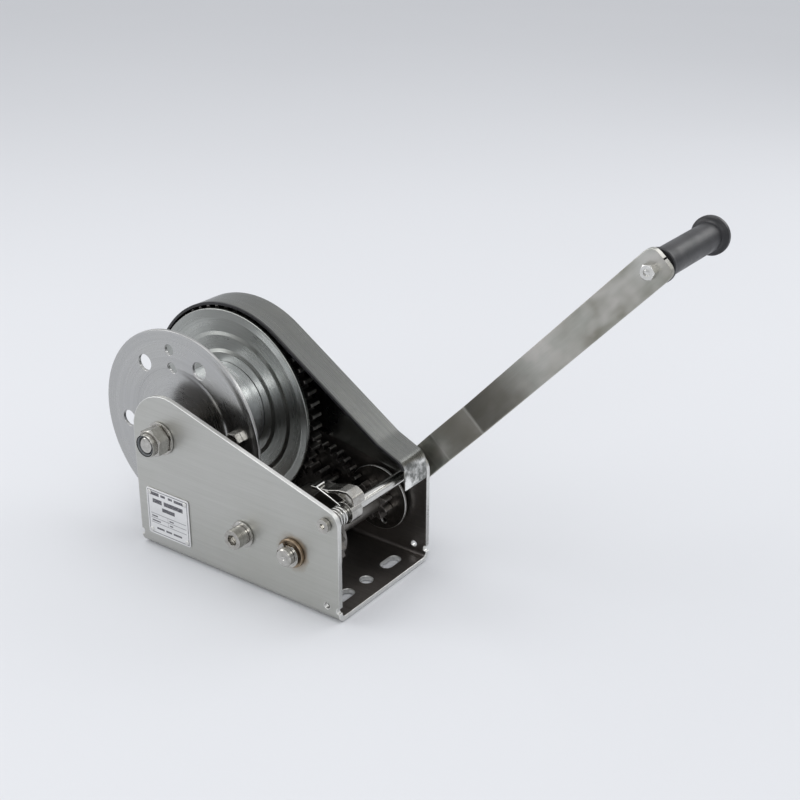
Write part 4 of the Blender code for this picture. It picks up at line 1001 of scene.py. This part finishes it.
def make_axles(size):
    """The bolts and nuts of both axles, the tie rod with its screws, and the crank shaft's bushings."""
    bolt = bolt_head(21, 58.6, 66.0, DRUM, 1) + [threaded(6.8, -73.2, 58.8, DRUM, 2.0, 0.9)]
    piece("drum_axle_bolt", bolt, "hardware")
    piece("drum_axle_nut", lock_nut(21, -74.0, -58.7, DRUM, 7.1, -4.4), "hardware", "nylon")
    shank = turned([(0, -64), (5, -64), (5, 65.8), (0, 65.8)], MIDDLE, [0, 0.1, 0.8, 0], 40)
    cap = socket_head(7.8, -69.0, -58.8, MIDDLE, 8, 4.5, -1)
    piece("intermediate_axle_bolt", cap + [shank], "hardware")
    piece("intermediate_axle_nut", lock_nut(16, 58.3, 65.0, MIDDLE, 5.3, 1.8), "hardware", "nylon")
    rod = [(0, -52.2), (4.6, -52.2), (4.6, 52.2), (0, 52.2)]
    piece("tie_rod", turned(rod, ROD, [0, 0.3, 0.3, 0], 64), "bright")
    for name, side in (("near", -1), ("far", 1)):
        head = [(0, 39), (3, 39), (3, 56.85), (5.4, 56.85), (5.4, 58.2), (0, 58.2)]
        base = turned([(r, y * side) for r, y in head], ROD, [0, 0.2, 0, 0.1, 0.1, 0], 48)
        socket = socket_head(5.2, *sorted((side * 56.9, side * 60.3)), ROD, 4, 2.2, side)
        piece(f"tie_rod_screw_{name}", [*socket, base], "hardware")
    near = [
        (7.3, -59.4), (10.8, -59.4), (11.4, -58.8), (11.4, -56.85), (9.7, -56.85), (9.7, -50.2),
        (7.3, -50.2)]
    far = [(6.1, 49.3), (11.6, 49.3), (11.6, 52.15), (9.7, 52.15), (9.7, 56.9), (6.1, 56.9)]
    piece("bushing_near", turned(near, CRANK, 0.25, 64), "bronze")
    piece("bushing_far", turned(far, CRANK, 0.25, 64), "bronze")


# ---- the pieces: drum and gears -----------------------------------------------------------------


def gear_line(at, module, teeth, shift, addendum, phase, tip_round=0.3):
    """An involute gear's outline. At radius r a tooth's half angle is that at the pitch circle, plus
    the pressure angle's involute, less tan a - a, where cos a = base radius / r.
    """
    pressure = radians(20)
    pitch = module * teeth / 2
    base, tip = pitch * cos(pressure), pitch + module * (addendum + shift)
    root = pitch - module * (1.25 - shift)
    half = (pi / 2 + 2 * shift * tan(pressure)) / teeth - 0.22 / (2 * pitch) + tan(pressure) - pressure
    r = np.linspace(max(base, root), tip, 7)
    a = np.arccos(np.minimum(1.0, base / r))
    width = half - (np.tan(a) - a)
    fillet = np.full(len(r), 0.0)
    if root < base - 0.5:
        r, width, fillet = np.append(root, r), np.append(width[0], width), np.append(0.5, fillet)
    else:
        fillet[0] = 0.4
    fillet[-1] = tip_round
    r, width = np.concatenate([r, r[::-1]]), np.concatenate([-width, width[::-1]])
    fillet = np.tile(np.concatenate([fillet, fillet[::-1]]), teeth)
    turn = (phase + np.arange(teeth) * 2 * pi / teeth)[:, None] + width
    spots = np.stack([at[0] + r * np.cos(turn), at[1] + r * np.sin(turn)], 2)
    return rounded(spots.reshape(-1, 2), fillet, 2)


def flare(at, falls):
    """Moves a disc's skin along its shaft by radius. Each fall (from, to, shift) eases in as
    3 t^2 - 2 t^3, and a normal leans back by the slope, 6 t (1 - t), times its part along the shaft.
    """
    def change(points, normals):
        """Shifts the points by their radius and leans the normals with them."""
        away = points[:, [0, 2]] - np.array(at)
        r = np.hypot(away[:, 0], away[:, 1])
        shift, slope = np.zeros(len(r)), np.zeros(len(r))
        for start, end, amount in falls:
            t = np.clip((r - start) / (end - start), 0, 1)
            shift += amount * (3 * t**2 - 2 * t**3)
            slope += amount * 6 * t * (1 - t) / (end - start)
        out = away / np.maximum(r, 1e-6)[:, None]
        made, leaned = points.copy(), normals.copy()
        made[:, 1] += shift
        leaned[:, [0, 2]] -= out * (slope * normals[:, 1])[:, None]
        return made, unit(leaned)
    return change


def on_circle(at, r, degrees):
    """The point at + r (cos, sin) of the angle."""
    return at[0] + r * cos(radians(degrees)), at[1] + r * sin(radians(degrees))


def make_drum(size):
    """The drum: flanges, barrel, gear and the clamp that holds the rope's end."""
    holes = [(*on_circle(DRUM, 58, 7 + 60 * k), 6.6 if k else 4.2) for k in range(6)]
    holes += [(*on_circle(DRUM, r, 97), 4.2) for r in (63.6, 49.0)]
    drawn = rings_between(DRUM, [44, 46, 47.2, 48.4, 49.6, 51, 71.5, 73, 74.5, 76, 77.5], holes)
    face = plate(circle(*DRUM, 79.8, 160), [circle(*DRUM, 11.3, 64)] + [circle(*h, 40) for h in holes],
                 -33.8, -31.0, 0.7, 4, drawn=drawn)
    near = face.moved(flare(DRUM, [(45, 51, -1.2), (72, 79.8, -1.0)]))
    piece("drum_flange_near", near, "flange")
    far = [
        (11.3, 19.9), (44, 19.9), (47, 21.1), (58, 21.1), (61, 22.1), (72, 22.1), (79.8, 20.7),
        (79.8, 24), (71, 24.9), (60, 24.9), (57, 24), (48, 24), (45, 23.2), (11.3, 23.2)]
    far_r = [0.3, 1, 1, 1, 1, 2, 0.8, 0.8, 2, 1, 1, 1, 1, 0.3]
    piece("drum_flange_far", turned(far, DRUM, far_r, 160), "dish")
    piece("drum_barrel", tube(37, 34, -30.7, 19.6, DRUM, 0.4, 120), "barrel")
    teeth = gear_line(DRUM, 3, 53, -0.35, 1.0, radians(-35.1))
    gear = plate(teeth, [circle(*DRUM, 11.3, 64)], 26.5, 36.5, 0.25, 2)
    piece("drum_gear", [gear, tube(40, 30, 23.5, 28, DRUM)], "drum gear")
    clamp = on_circle(DRUM, 58, 7)
    shank = turned([(0, -35.5), (3.8, -35.5), (3.8, -21.5), (0, -21.5)], clamp, [0, 0, 0.5, 0], 32)
    piece("rope_clamp_bolt", bolt_head(12, -40.3, -35.3, clamp, -1) + [shank], "hardware")
    x, z = clamp
    turn = radians(7)
    corners = [(x + u * cos(turn) - v * sin(turn), z + u * sin(turn) + v * cos(turn))
               for u, v in ((-6.5, -11), (6.5, -11), (6.5, 11), (-6.5, 11))]
    keeper = plate(rounded(corners, 2.5, 5), [circle(x, z, 4.2, 32)], -31.9, -29.4, 0.4)
    piece("rope_clamp_plate", keeper, "hardware")
    piece("rope_clamp_nut", hexagonal(12, -29.1, -23.3, clamp, 4.1, 0.3), "hardware")


def make_gears(size):
    """The intermediate shaft's pinion and gear."""
    teeth = gear_line(MIDDLE, 3, 12, 0.35, 0.9, radians(-35.1 + 180 + 15))
    small = plate(teeth, [circle(*MIDDLE, 5.4, 48)], 25.6, 37.4, 0.25, 2)
    piece("intermediate_pinion", [small, tube(9, 5.4, 30, 47, MIDDLE)], "small gear")
    teeth = gear_line(MIDDLE, 2.5, 28, -0.45, 1.0, radians(1))
    holes = [circle(*on_circle(MIDDLE, 20.5, 45 + 90 * k), 4.5, 32) for k in range(4)]
    large = plate(teeth, [circle(*MIDDLE, 9.3, 48), *holes], 38, 45.6, 0.25, 2)
    piece("intermediate_gear", large, "middle gear")


def make_brake(size):
    """The brake pack: the threaded sleeve with its teeth, the thrust disc and the ratchet wheel."""
    flange = [(6.1, -24.4), (22.5, -24.4), (22.5, -20.4), (10.5, -20.4), (9, -18.9), (9, 40), (6.1, 40)]
    teeth = gear_line(CRANK, 2.5, 10, 0.45, 0.85, radians(1 + 180 + 18))
    sleeve = turned(flange, CRANK, [0.2, 0.5, 0.5, 0.3, 0.3, 0.2, 0.2], 64)
    pinion = plate(teeth, [circle(*CRANK, 6.1, 40)], 37.5, 46.2, 0.25, 2, faces=(1, 1), rim=1)
    piece("pinion_sleeve", [sleeve, pinion], "dull", "crank gear")
    holes = [circle(*on_circle(CRANK, 19.5, 50 + 120 * k), 2.4, 24) for k in range(3)]
    disc = plate(circle(*CRANK, 27, 96), [circle(*CRANK, 6.1, 40), *holes], 46.6, 48.9, 0.5, rim=1)
    # Its rim takes the cut edge finish, lightened as a painted highlight.
    piece("thrust_disc", disc, "disc", "edge")
    first, step = radians(87), 2 * pi / 24
    a = first + np.arange(24) * step
    saw = np.stack([(24 * np.cos(a), 24 * np.sin(a)), (27.5 * np.cos(a), 27.5 * np.sin(a)),
                    (27.5 * np.cos(a + 0.05), 27.5 * np.sin(a + 0.05))]).transpose(2, 0, 1)
    outline = rounded(saw.reshape(-1, 2) + np.array(CRANK), np.tile([0.3, 0.25, 0.25], 24), 2)
    piece("ratchet_wheel", plate(outline, [circle(*CRANK, 7.6, 48)], -33.1, -27.9, 0.2, 2), "disc")


def make_crank(size):
    """The crank: its shaft, clip, hub cup, set-out arm and the nuts and bolts on them."""
    shaft_line = [
        (0, -65.4), (1.9, -67.2), (6, -67.2), (7, -66.2), (7, -62.6), (5.9, -62.6), (5.9, -61.2),
        (7, -61.2), (7, -49.6), (10.5, -49.6), (10.5, -41), (7, -41), (7, -26.4), (5.8, -25.2),
        (5.8, 82), (4.8, 83), (0, 83)]
    rounds = [0, 0.3, 0.3, 0.3, 0.2, 0.1, 0.1, 0.2, 0.2, 0.4, 0.4, 0.2, 0.3, 0.3, 0.3, 0.2, 0]
    piece("crank_shaft", turned(shaft_line, CRANK, rounds, 64), "hardware")
    piece("brake_backing_disc", tube(22.5, 7.3, -40.7, -36.6, CRANK, 0.5), "disc")
    ends = (radians(115), radians(425))
    clip = np.concatenate([arc(*CRANK, 9.6, *ends, 48), arc(*CRANK, 6.1, *ends, 40)[::-1]])
    clip_r = np.zeros(len(clip))
    clip_r[[0, 48, 49, -1]] = 0.6
    piece("shaft_clip", plate(rounded(clip, clip_r, 4), [], -62.3, -61.5, 0.2), "hardware")
    cup = [
        (6.1, 57.4), (12.5, 57.4), (12.5, 62.6), (34.5, 62.6), (35.6, 61.6), (35.6, 57.4),
        (37.8, 57.4), (37.8, 62.6), (35.4, 65.4), (6.1, 65.4)]
    cup_r = [0.3, 0.5, 0.8, 0.5, 0.5, 0.4, 0.4, 1.2, 1.2, 0.3]
    piece("crank_hub_cup", turned(cup, CRANK, cup_r, 120), "cup")
    length = np.hypot(GRIP[0] - CRANK[0], GRIP[1] - CRANK[1])
    quarter = np.linspace(0, pi / 2, 22)
    stations = np.concatenate([
        -13.5 + 13.5 * (1 - np.cos(quarter)), np.linspace(2, 40, 6), np.linspace(44, 122, 53),
        np.linspace(130, length - 2, 12), length + 12.5 * np.sin(quarter)])
    hub_end = np.sqrt(np.maximum(13.5**2 - np.minimum(stations, 0) ** 2, 0))
    far_end = 12.5 * np.maximum(1 - (np.maximum(stations - length, 0) / 12.5) ** 4, 0) ** 0.25
    half_width = np.minimum(np.minimum(hub_end, far_end), 12.5)
    bend, _ = rounded(
        [(-30, 69.0), (64, 69.0), (102, 77.0), (340, 77.0)], [0, 16, 16, 0], 8, closed=False)
    bend = bend[np.argsort(bend[:, 0])]
    bar = bent_bar(stations, half_width, np.interp(stations, bend[:, 0], bend[:, 1]), 5.0, 0.7)

    def lay(points, normals):
        """Turns the bar's (station, side, across) to the arm's angle about the crank shaft."""
        c, s = cos(ARM_ANGLE), sin(ARM_ANGLE)
        made, leaned = np.empty_like(points), np.empty_like(normals)
        for put, got in ((made, points), (leaned, normals)):
            put[:, 0] = got[:, 0] * c - got[:, 1] * s
            put[:, 1] = got[:, 2]
            put[:, 2] = got[:, 0] * s + got[:, 1] * c
        return made + np.array([CRANK[0], 0, CRANK[1]]), leaned

    piece("crank_arm", bar.moved(lay), "arm")
    piece("crank_nut", lock_nut(18.4, 73.7, 82.2, CRANK, 6.1, 2.4), "hardware", "nylon")
    shank = turned([(0, 70), (4, 70), (4, 163.5), (0, 163.5)], GRIP, [0, 0, 0.5, 0], 40)
    piece("grip_bolt", bolt_head(10, 68.9, 74.4, GRIP, -1) + [shank], "bright")
    piece("grip_bolt_nut", hexagonal(13, 79.8, 85.1, GRIP, 4.3, 0.2), "hardware")


def make_grip(size):
    """The grip: a turned handle with a collar at the arm and a flange at its end."""
    y0, y1 = 85.7, 173.5
    profile = [
        (0, y0), (11.8, y0), (12.4, y0 + 0.8), (12.4, y0 + 3), (10.6, y0 + 4.2), (10.6, y1 - 7),
        (13.5, y1 - 5.6), (14.5, y1 - 4.6), (14.5, y1 - 1.4), (12.9, y1), (7, y1 + 0.6),
        (0, y1 + 0.8)]
    piece("grip", turned(profile, GRIP, [0, 0.4, 0.4, 0.8, 1, 3, 1.5, 1, 1.4, 1.4, 3, 0], 72), "grip")


def make_pawl(size):
    """The pawl with its hub, curled tab and web, and the spring wound on the tie rod."""
    dx, dz = CRANK[0] - ROD[0], CRANK[1] - ROD[1]
    slope = 3.5 / 15

    def nose(r, back):
        """A place by its radius from the crank shaft, back degrees behind the first tooth."""
        a = radians(87 - back)
        return dx + r * cos(a), dz + r * sin(a)

    hub = arc(0, 0, 8.6, radians(230), radians(440), 28)[::-1]
    points = [nose(24.9, 2.0), nose(32, 1.6), nose(36, -1.6), (-24, 9), (-10, 13), *hub,
              nose(30, 17), nose(28.3, 14.6), nose(24.7 + slope * 10, 10)]
    radii = [0.6, 1, 2, 2, 3] + [0] * len(hub) + [1.5, 1.5, 0.6]
    place = np.array(ROD)
    body = plate(rounded(np.array(points) + place, radii, 4), [circle(*ROD, 4.9, 40)], -33.4, -27.6, 0.5)
    tab = [(-29, 13.6), (-14, 14.4), (-4, 17.6), (4, 18.4), (9.6, 15), (10.8, 9), (9, 8.4), (7.8, 13.4),
           (3.4, 16.2), (-3.4, 15.4), (-13.6, 12), (-29, 11.2)]
    tab_r = [0.8, 8, 6, 4, 3, 0.7, 0.7, 2, 2, 4, 6, 0.8]
    curl = plate(rounded(np.array(tab) + place, tab_r, 5), [], -37, -24.2, 0.6)
    web = plate(
        rounded(np.array([(-24, 8), (-6, 6), (-6, 15), (-24, 12)]) + place, 1, 3), [], -33.2, -27.8, 0.4)
    piece("pawl", [body, tube(8.6, 4.9, -36, -24.2, ROD, 0.5), curl, web], "hardware")
    turns = np.linspace(0, 1, 150)
    angle = radians(200) - radians(3 * 360 + 100) * turns
    coil = np.stack([6.6 * np.cos(angle), -48 + 9.8 * turns, 6.6 * np.sin(angle)], 1)
    tail = smooth_curve([(-3, -48.6, -14), (-6.6, -48.2, -6), coil[0]], 16)
    hook = smooth_curve(
        [coil[-1], (-10, -38.2, 10.2), (-21, -38.2, 14.2), (-22, -36.6, 15.2), (-22.4, -30, 15.2)], 40)
    path = np.concatenate([tail[:-1], coil, hook[1:]]) + np.array([ROD[0], 0, ROD[1]])
    piece("pawl_spring", wire(path, 0.75), "bright")


# ---- stage --------------------------------------------------------------------------------------


def aimed_light(name, place, target, size_x, size_y, power):
    """A rectangular soft box at place, facing target."""
    data = bpy.data.lights.new(name, "AREA")
    data.shape, data.size, data.size_y, data.energy = "RECTANGLE", size_x, size_y, power
    made = bpy.data.objects.new(name, data)
    bpy.context.scene.collection.objects.link(made)
    made.location = place
    made.rotation_euler = (Vector(target) - Vector(place)).to_track_quat("-Z", "Y").to_euler()


def make_world(settings):
    """A pale room: brighter overhead, a soft grey band low down, and the floor's tone below."""
    world = bpy.data.worlds.new("studio")
    world.use_nodes = True
    bpy.context.scene.world = world
    g = Graph(world.node_tree)
    up = g.add("SeparateXYZ", {0: g.add("TexCoord").outputs["Generated"]}).outputs[2]
    sky = g.blend(g.span(up, 0.02, 0.75), rgb(0.66, 0.675, 0.70), rgb(0.95, 0.96, 0.98))
    sky = g.blend(g.span(up, -0.25, 0.0), rgb(0.66, 0.675, 0.70), sky)
    back = world.node_tree.nodes["Background"]
    world.node_tree.links.new(sky, back.inputs["Color"])
    back.inputs["Strength"].default_value = settings.room_light


def make_stage(settings):
    """The floor, the room and four soft boxes."""
    floor = bpy.data.meshes.new("studio_floor")
    floor.from_pydata([(-30, -30, 0), (30, -30, 0), (30, 30, 0), (-30, 30, 0)], [], [(0, 1, 2, 3)])
    made, g, shader, place = new_finish("studio floor", 0.0)
    cloud = g.noise(place, 1.3, 2.0)
    base = tuple(settings.floor_colour)
    tone = g.blend(g.span(cloud, 0.3, 0.7), rgb(*(0.985 * c for c in base)), rgb(*base))
    g.tree.links.new(tone, shader.inputs["Base Color"])
    shader.inputs["Roughness"].default_value = 0.85
    shader.inputs["Specular IOR Level"].default_value = 0.15
    floor.materials.append(made)
    ground = bpy.data.objects.new("studio_floor", floor)
    bpy.context.scene.collection.objects.link(ground)
    ground.location.z = -0.0006
    make_world(settings)
    key = settings.key_light
    aimed_light("overhead softbox", (-0.2, 0.1, 1.9), (0, 0, 0.1), 1.6, 1.2, 9.0 * key)
    aimed_light("left softbox", (-1.5, -1.0, 0.9), (0, 0, 0.12), 0.9, 1.2, 7.0 * key)
    aimed_light("front softbox", (1.3, -1.4, 1.3), (0, 0, 0.12), 0.7, 0.7, 5.0 * key)
    aimed_light("rim softbox", (0.7, 1.5, 1.0), (0, 0, 0.12), 1.0, 0.6, 4.0 * key)


def make_camera(settings):
    """A camera at place, turned by yaw, then down by pitch, then by roll about its own line of sight."""
    yaw, pitch, roll = radians(-35.54), radians(24.29), radians(0.31)
    ahead = np.array([sin(yaw) * cos(pitch), cos(yaw) * cos(pitch), -sin(pitch)])
    right = np.array([cos(yaw), -sin(yaw), 0.0])
    up = np.cross(right, ahead)
    right, up = cos(roll) * right + sin(roll) * up, cos(roll) * up - sin(roll) * right
    data = bpy.data.cameras.new("studio_camera")
    data.sensor_width, data.lens, data.shift_x = 36.0, settings.lens, -0.0025
    made = bpy.data.objects.new("studio_camera", data)
    bpy.context.scene.collection.objects.link(made)
    place = (0.59697, -0.67637, 0.5359)
    made.matrix_world = Matrix(
        [(*(float(v[k]) for v in (right, up, -ahead)), place[k]) for k in range(3)] + [(0, 0, 0, 1)])
    bpy.context.scene.camera = made
    bpy.context.scene.view_settings.view_transform = "Standard"


# ---- add-on -------------------------------------------------------------------------------------


class WinchSizes(bpy.types.PropertyGroup):
    """Sizes of the skins that a user may change."""

    edge: bpy.props.FloatProperty(
        name="Sheet edge", description="Rounding of the side frame's cut edges, in millimetres",
        default=0.55, min=0.1, max=1.2)


class WinchLooks(bpy.types.PropertyGroup):
    """Colours and lights that a user may change."""

    soil_colour: bpy.props.FloatVectorProperty(
        name="Soil colour", description="Colour of the handling marks on the steel", subtype="COLOR",
        size=3, default=(0.24, 0.235, 0.21), min=0, max=1)
    grip_colour: bpy.props.FloatVectorProperty(
        name="Grip colour", description="Colour of the moulded grip", subtype="COLOR",
        size=3, default=(0.022, 0.022, 0.024), min=0, max=1)
    floor_colour: bpy.props.FloatVectorProperty(
        name="Floor colour", description="Colour of the studio floor", subtype="COLOR",
        size=3, default=(0.72, 0.73, 0.755), min=0, max=1)
    room_light: bpy.props.FloatProperty(
        name="Room light", description="Strength of the light from the room", default=0.85, min=0, max=3)
    key_light: bpy.props.FloatProperty(
        name="Key lights", description="Strength of the soft boxes", default=1.0, min=0, max=5)
    lens: bpy.props.FloatProperty(
        name="Lens", description="Focal length of the camera, in millimetres", default=58.86, min=20,
        max=200)


class BuildStep:
    """What the winch's operators share: they run their builders with the scene's settings."""

    bl_options = {"REGISTER"}

    def execute(self, context):
        """Makes the finishes once, then this step's pieces."""
        if not FINISHES:
            make_finishes(context.scene.winch_looks)
        for build in self.builders:
            build(context.scene.winch_sizes)
        return {"FINISHED"}


class WINCH_OT_frame(BuildStep, bpy.types.Operator):
    """Folds the side frame and adds its name plate"""

    bl_idname, bl_label = "winch.frame", "Frame"
    builders = (make_frame, make_name_plate)


class WINCH_OT_cover(BuildStep, bpy.types.Operator):
    """Builds the gear cover, its strip and rivets"""

    bl_idname, bl_label = "winch.cover", "Gear cover"
    builders = (make_cover,)


class WINCH_OT_axles(BuildStep, bpy.types.Operator):
    """Builds the axles, the tie rod, the bushings and their nuts and washers"""

    bl_idname, bl_label = "winch.axles", "Axles and tie rod"
    builders = (make_axles, make_rings)


class WINCH_OT_drum(BuildStep, bpy.types.Operator):
    """Builds the drum, its gear and the rope clamp"""

    bl_idname, bl_label = "winch.drum", "Drum"
    builders = (make_drum,)


class WINCH_OT_gears(BuildStep, bpy.types.Operator):
    """Builds the intermediate pinion and gear"""

    bl_idname, bl_label = "winch.gears", "Intermediate gears"
    builders = (make_gears,)


class WINCH_OT_brake(BuildStep, bpy.types.Operator):
    """Builds the pinion sleeve, the thrust disc and the ratchet wheel"""

    bl_idname, bl_label = "winch.brake", "Brake pack"
    builders = (make_brake,)


class WINCH_OT_crank(BuildStep, bpy.types.Operator):
    """Builds the crank shaft, hub, arm and grip"""

    bl_idname, bl_label = "winch.crank", "Crank and grip"
    builders = (make_crank, make_grip)


class WINCH_OT_pawl(BuildStep, bpy.types.Operator):
    """Builds the pawl and its spring"""

    bl_idname, bl_label = "winch.pawl", "Pawl and spring"
    builders = (make_pawl,)


class WINCH_OT_stage(bpy.types.Operator):
    """Sets the floor, the lights and the camera"""

    bl_idname, bl_label, bl_options = "winch.stage", "Stage", {"REGISTER"}

    def execute(self, context):
        """Makes the stage, then the camera."""
        make_stage(context.scene.winch_looks)
        make_camera(context.scene.winch_looks)
        return {"FINISHED"}


STEPS = (WINCH_OT_frame, WINCH_OT_cover, WINCH_OT_axles, WINCH_OT_drum, WINCH_OT_gears, WINCH_OT_brake,
         WINCH_OT_crank, WINCH_OT_pawl, WINCH_OT_stage)


class WINCH_PT_panel(bpy.types.Panel):
    """The winch's settings and build steps."""

    bl_idname, bl_label, bl_category = "WINCH_PT_panel", "Boat Trailer Winch", "Winch"
    bl_space_type, bl_region_type = "VIEW_3D", "UI"

    def draw(self, context):
        """Lists every setting, then a button for each step."""
        for group_of in (context.scene.winch_sizes, context.scene.winch_looks):
            for name in type(group_of).__annotations__:
                self.layout.prop(group_of, name)
        for step in STEPS:
            self.layout.operator(step.bl_idname)


CLASSES = (WinchSizes, WinchLooks, *STEPS, WINCH_PT_panel)


def register():
    """Registers the classes and puts the settings on the scene."""
    for made in CLASSES:
        bpy.utils.register_class(made)
    bpy.types.Scene.winch_sizes = bpy.props.PointerProperty(type=WinchSizes)
    bpy.types.Scene.winch_looks = bpy.props.PointerProperty(type=WinchLooks)


def unregister():
    """Takes the settings and the classes away."""
    del bpy.types.Scene.winch_sizes, bpy.types.Scene.winch_looks
    for made in reversed(CLASSES):
        bpy.utils.unregister_class(made)


def main():
    """Builds the winch piece by piece, then the stage."""
    register()
    for step in STEPS:
        area, name = step.bl_idname.split(".")
        if getattr(getattr(bpy.ops, area), name)() != {"FINISHED"}:
            raise RuntimeError(f"{step.bl_label} wasn't built")


if __name__ == "__main__":
    main()
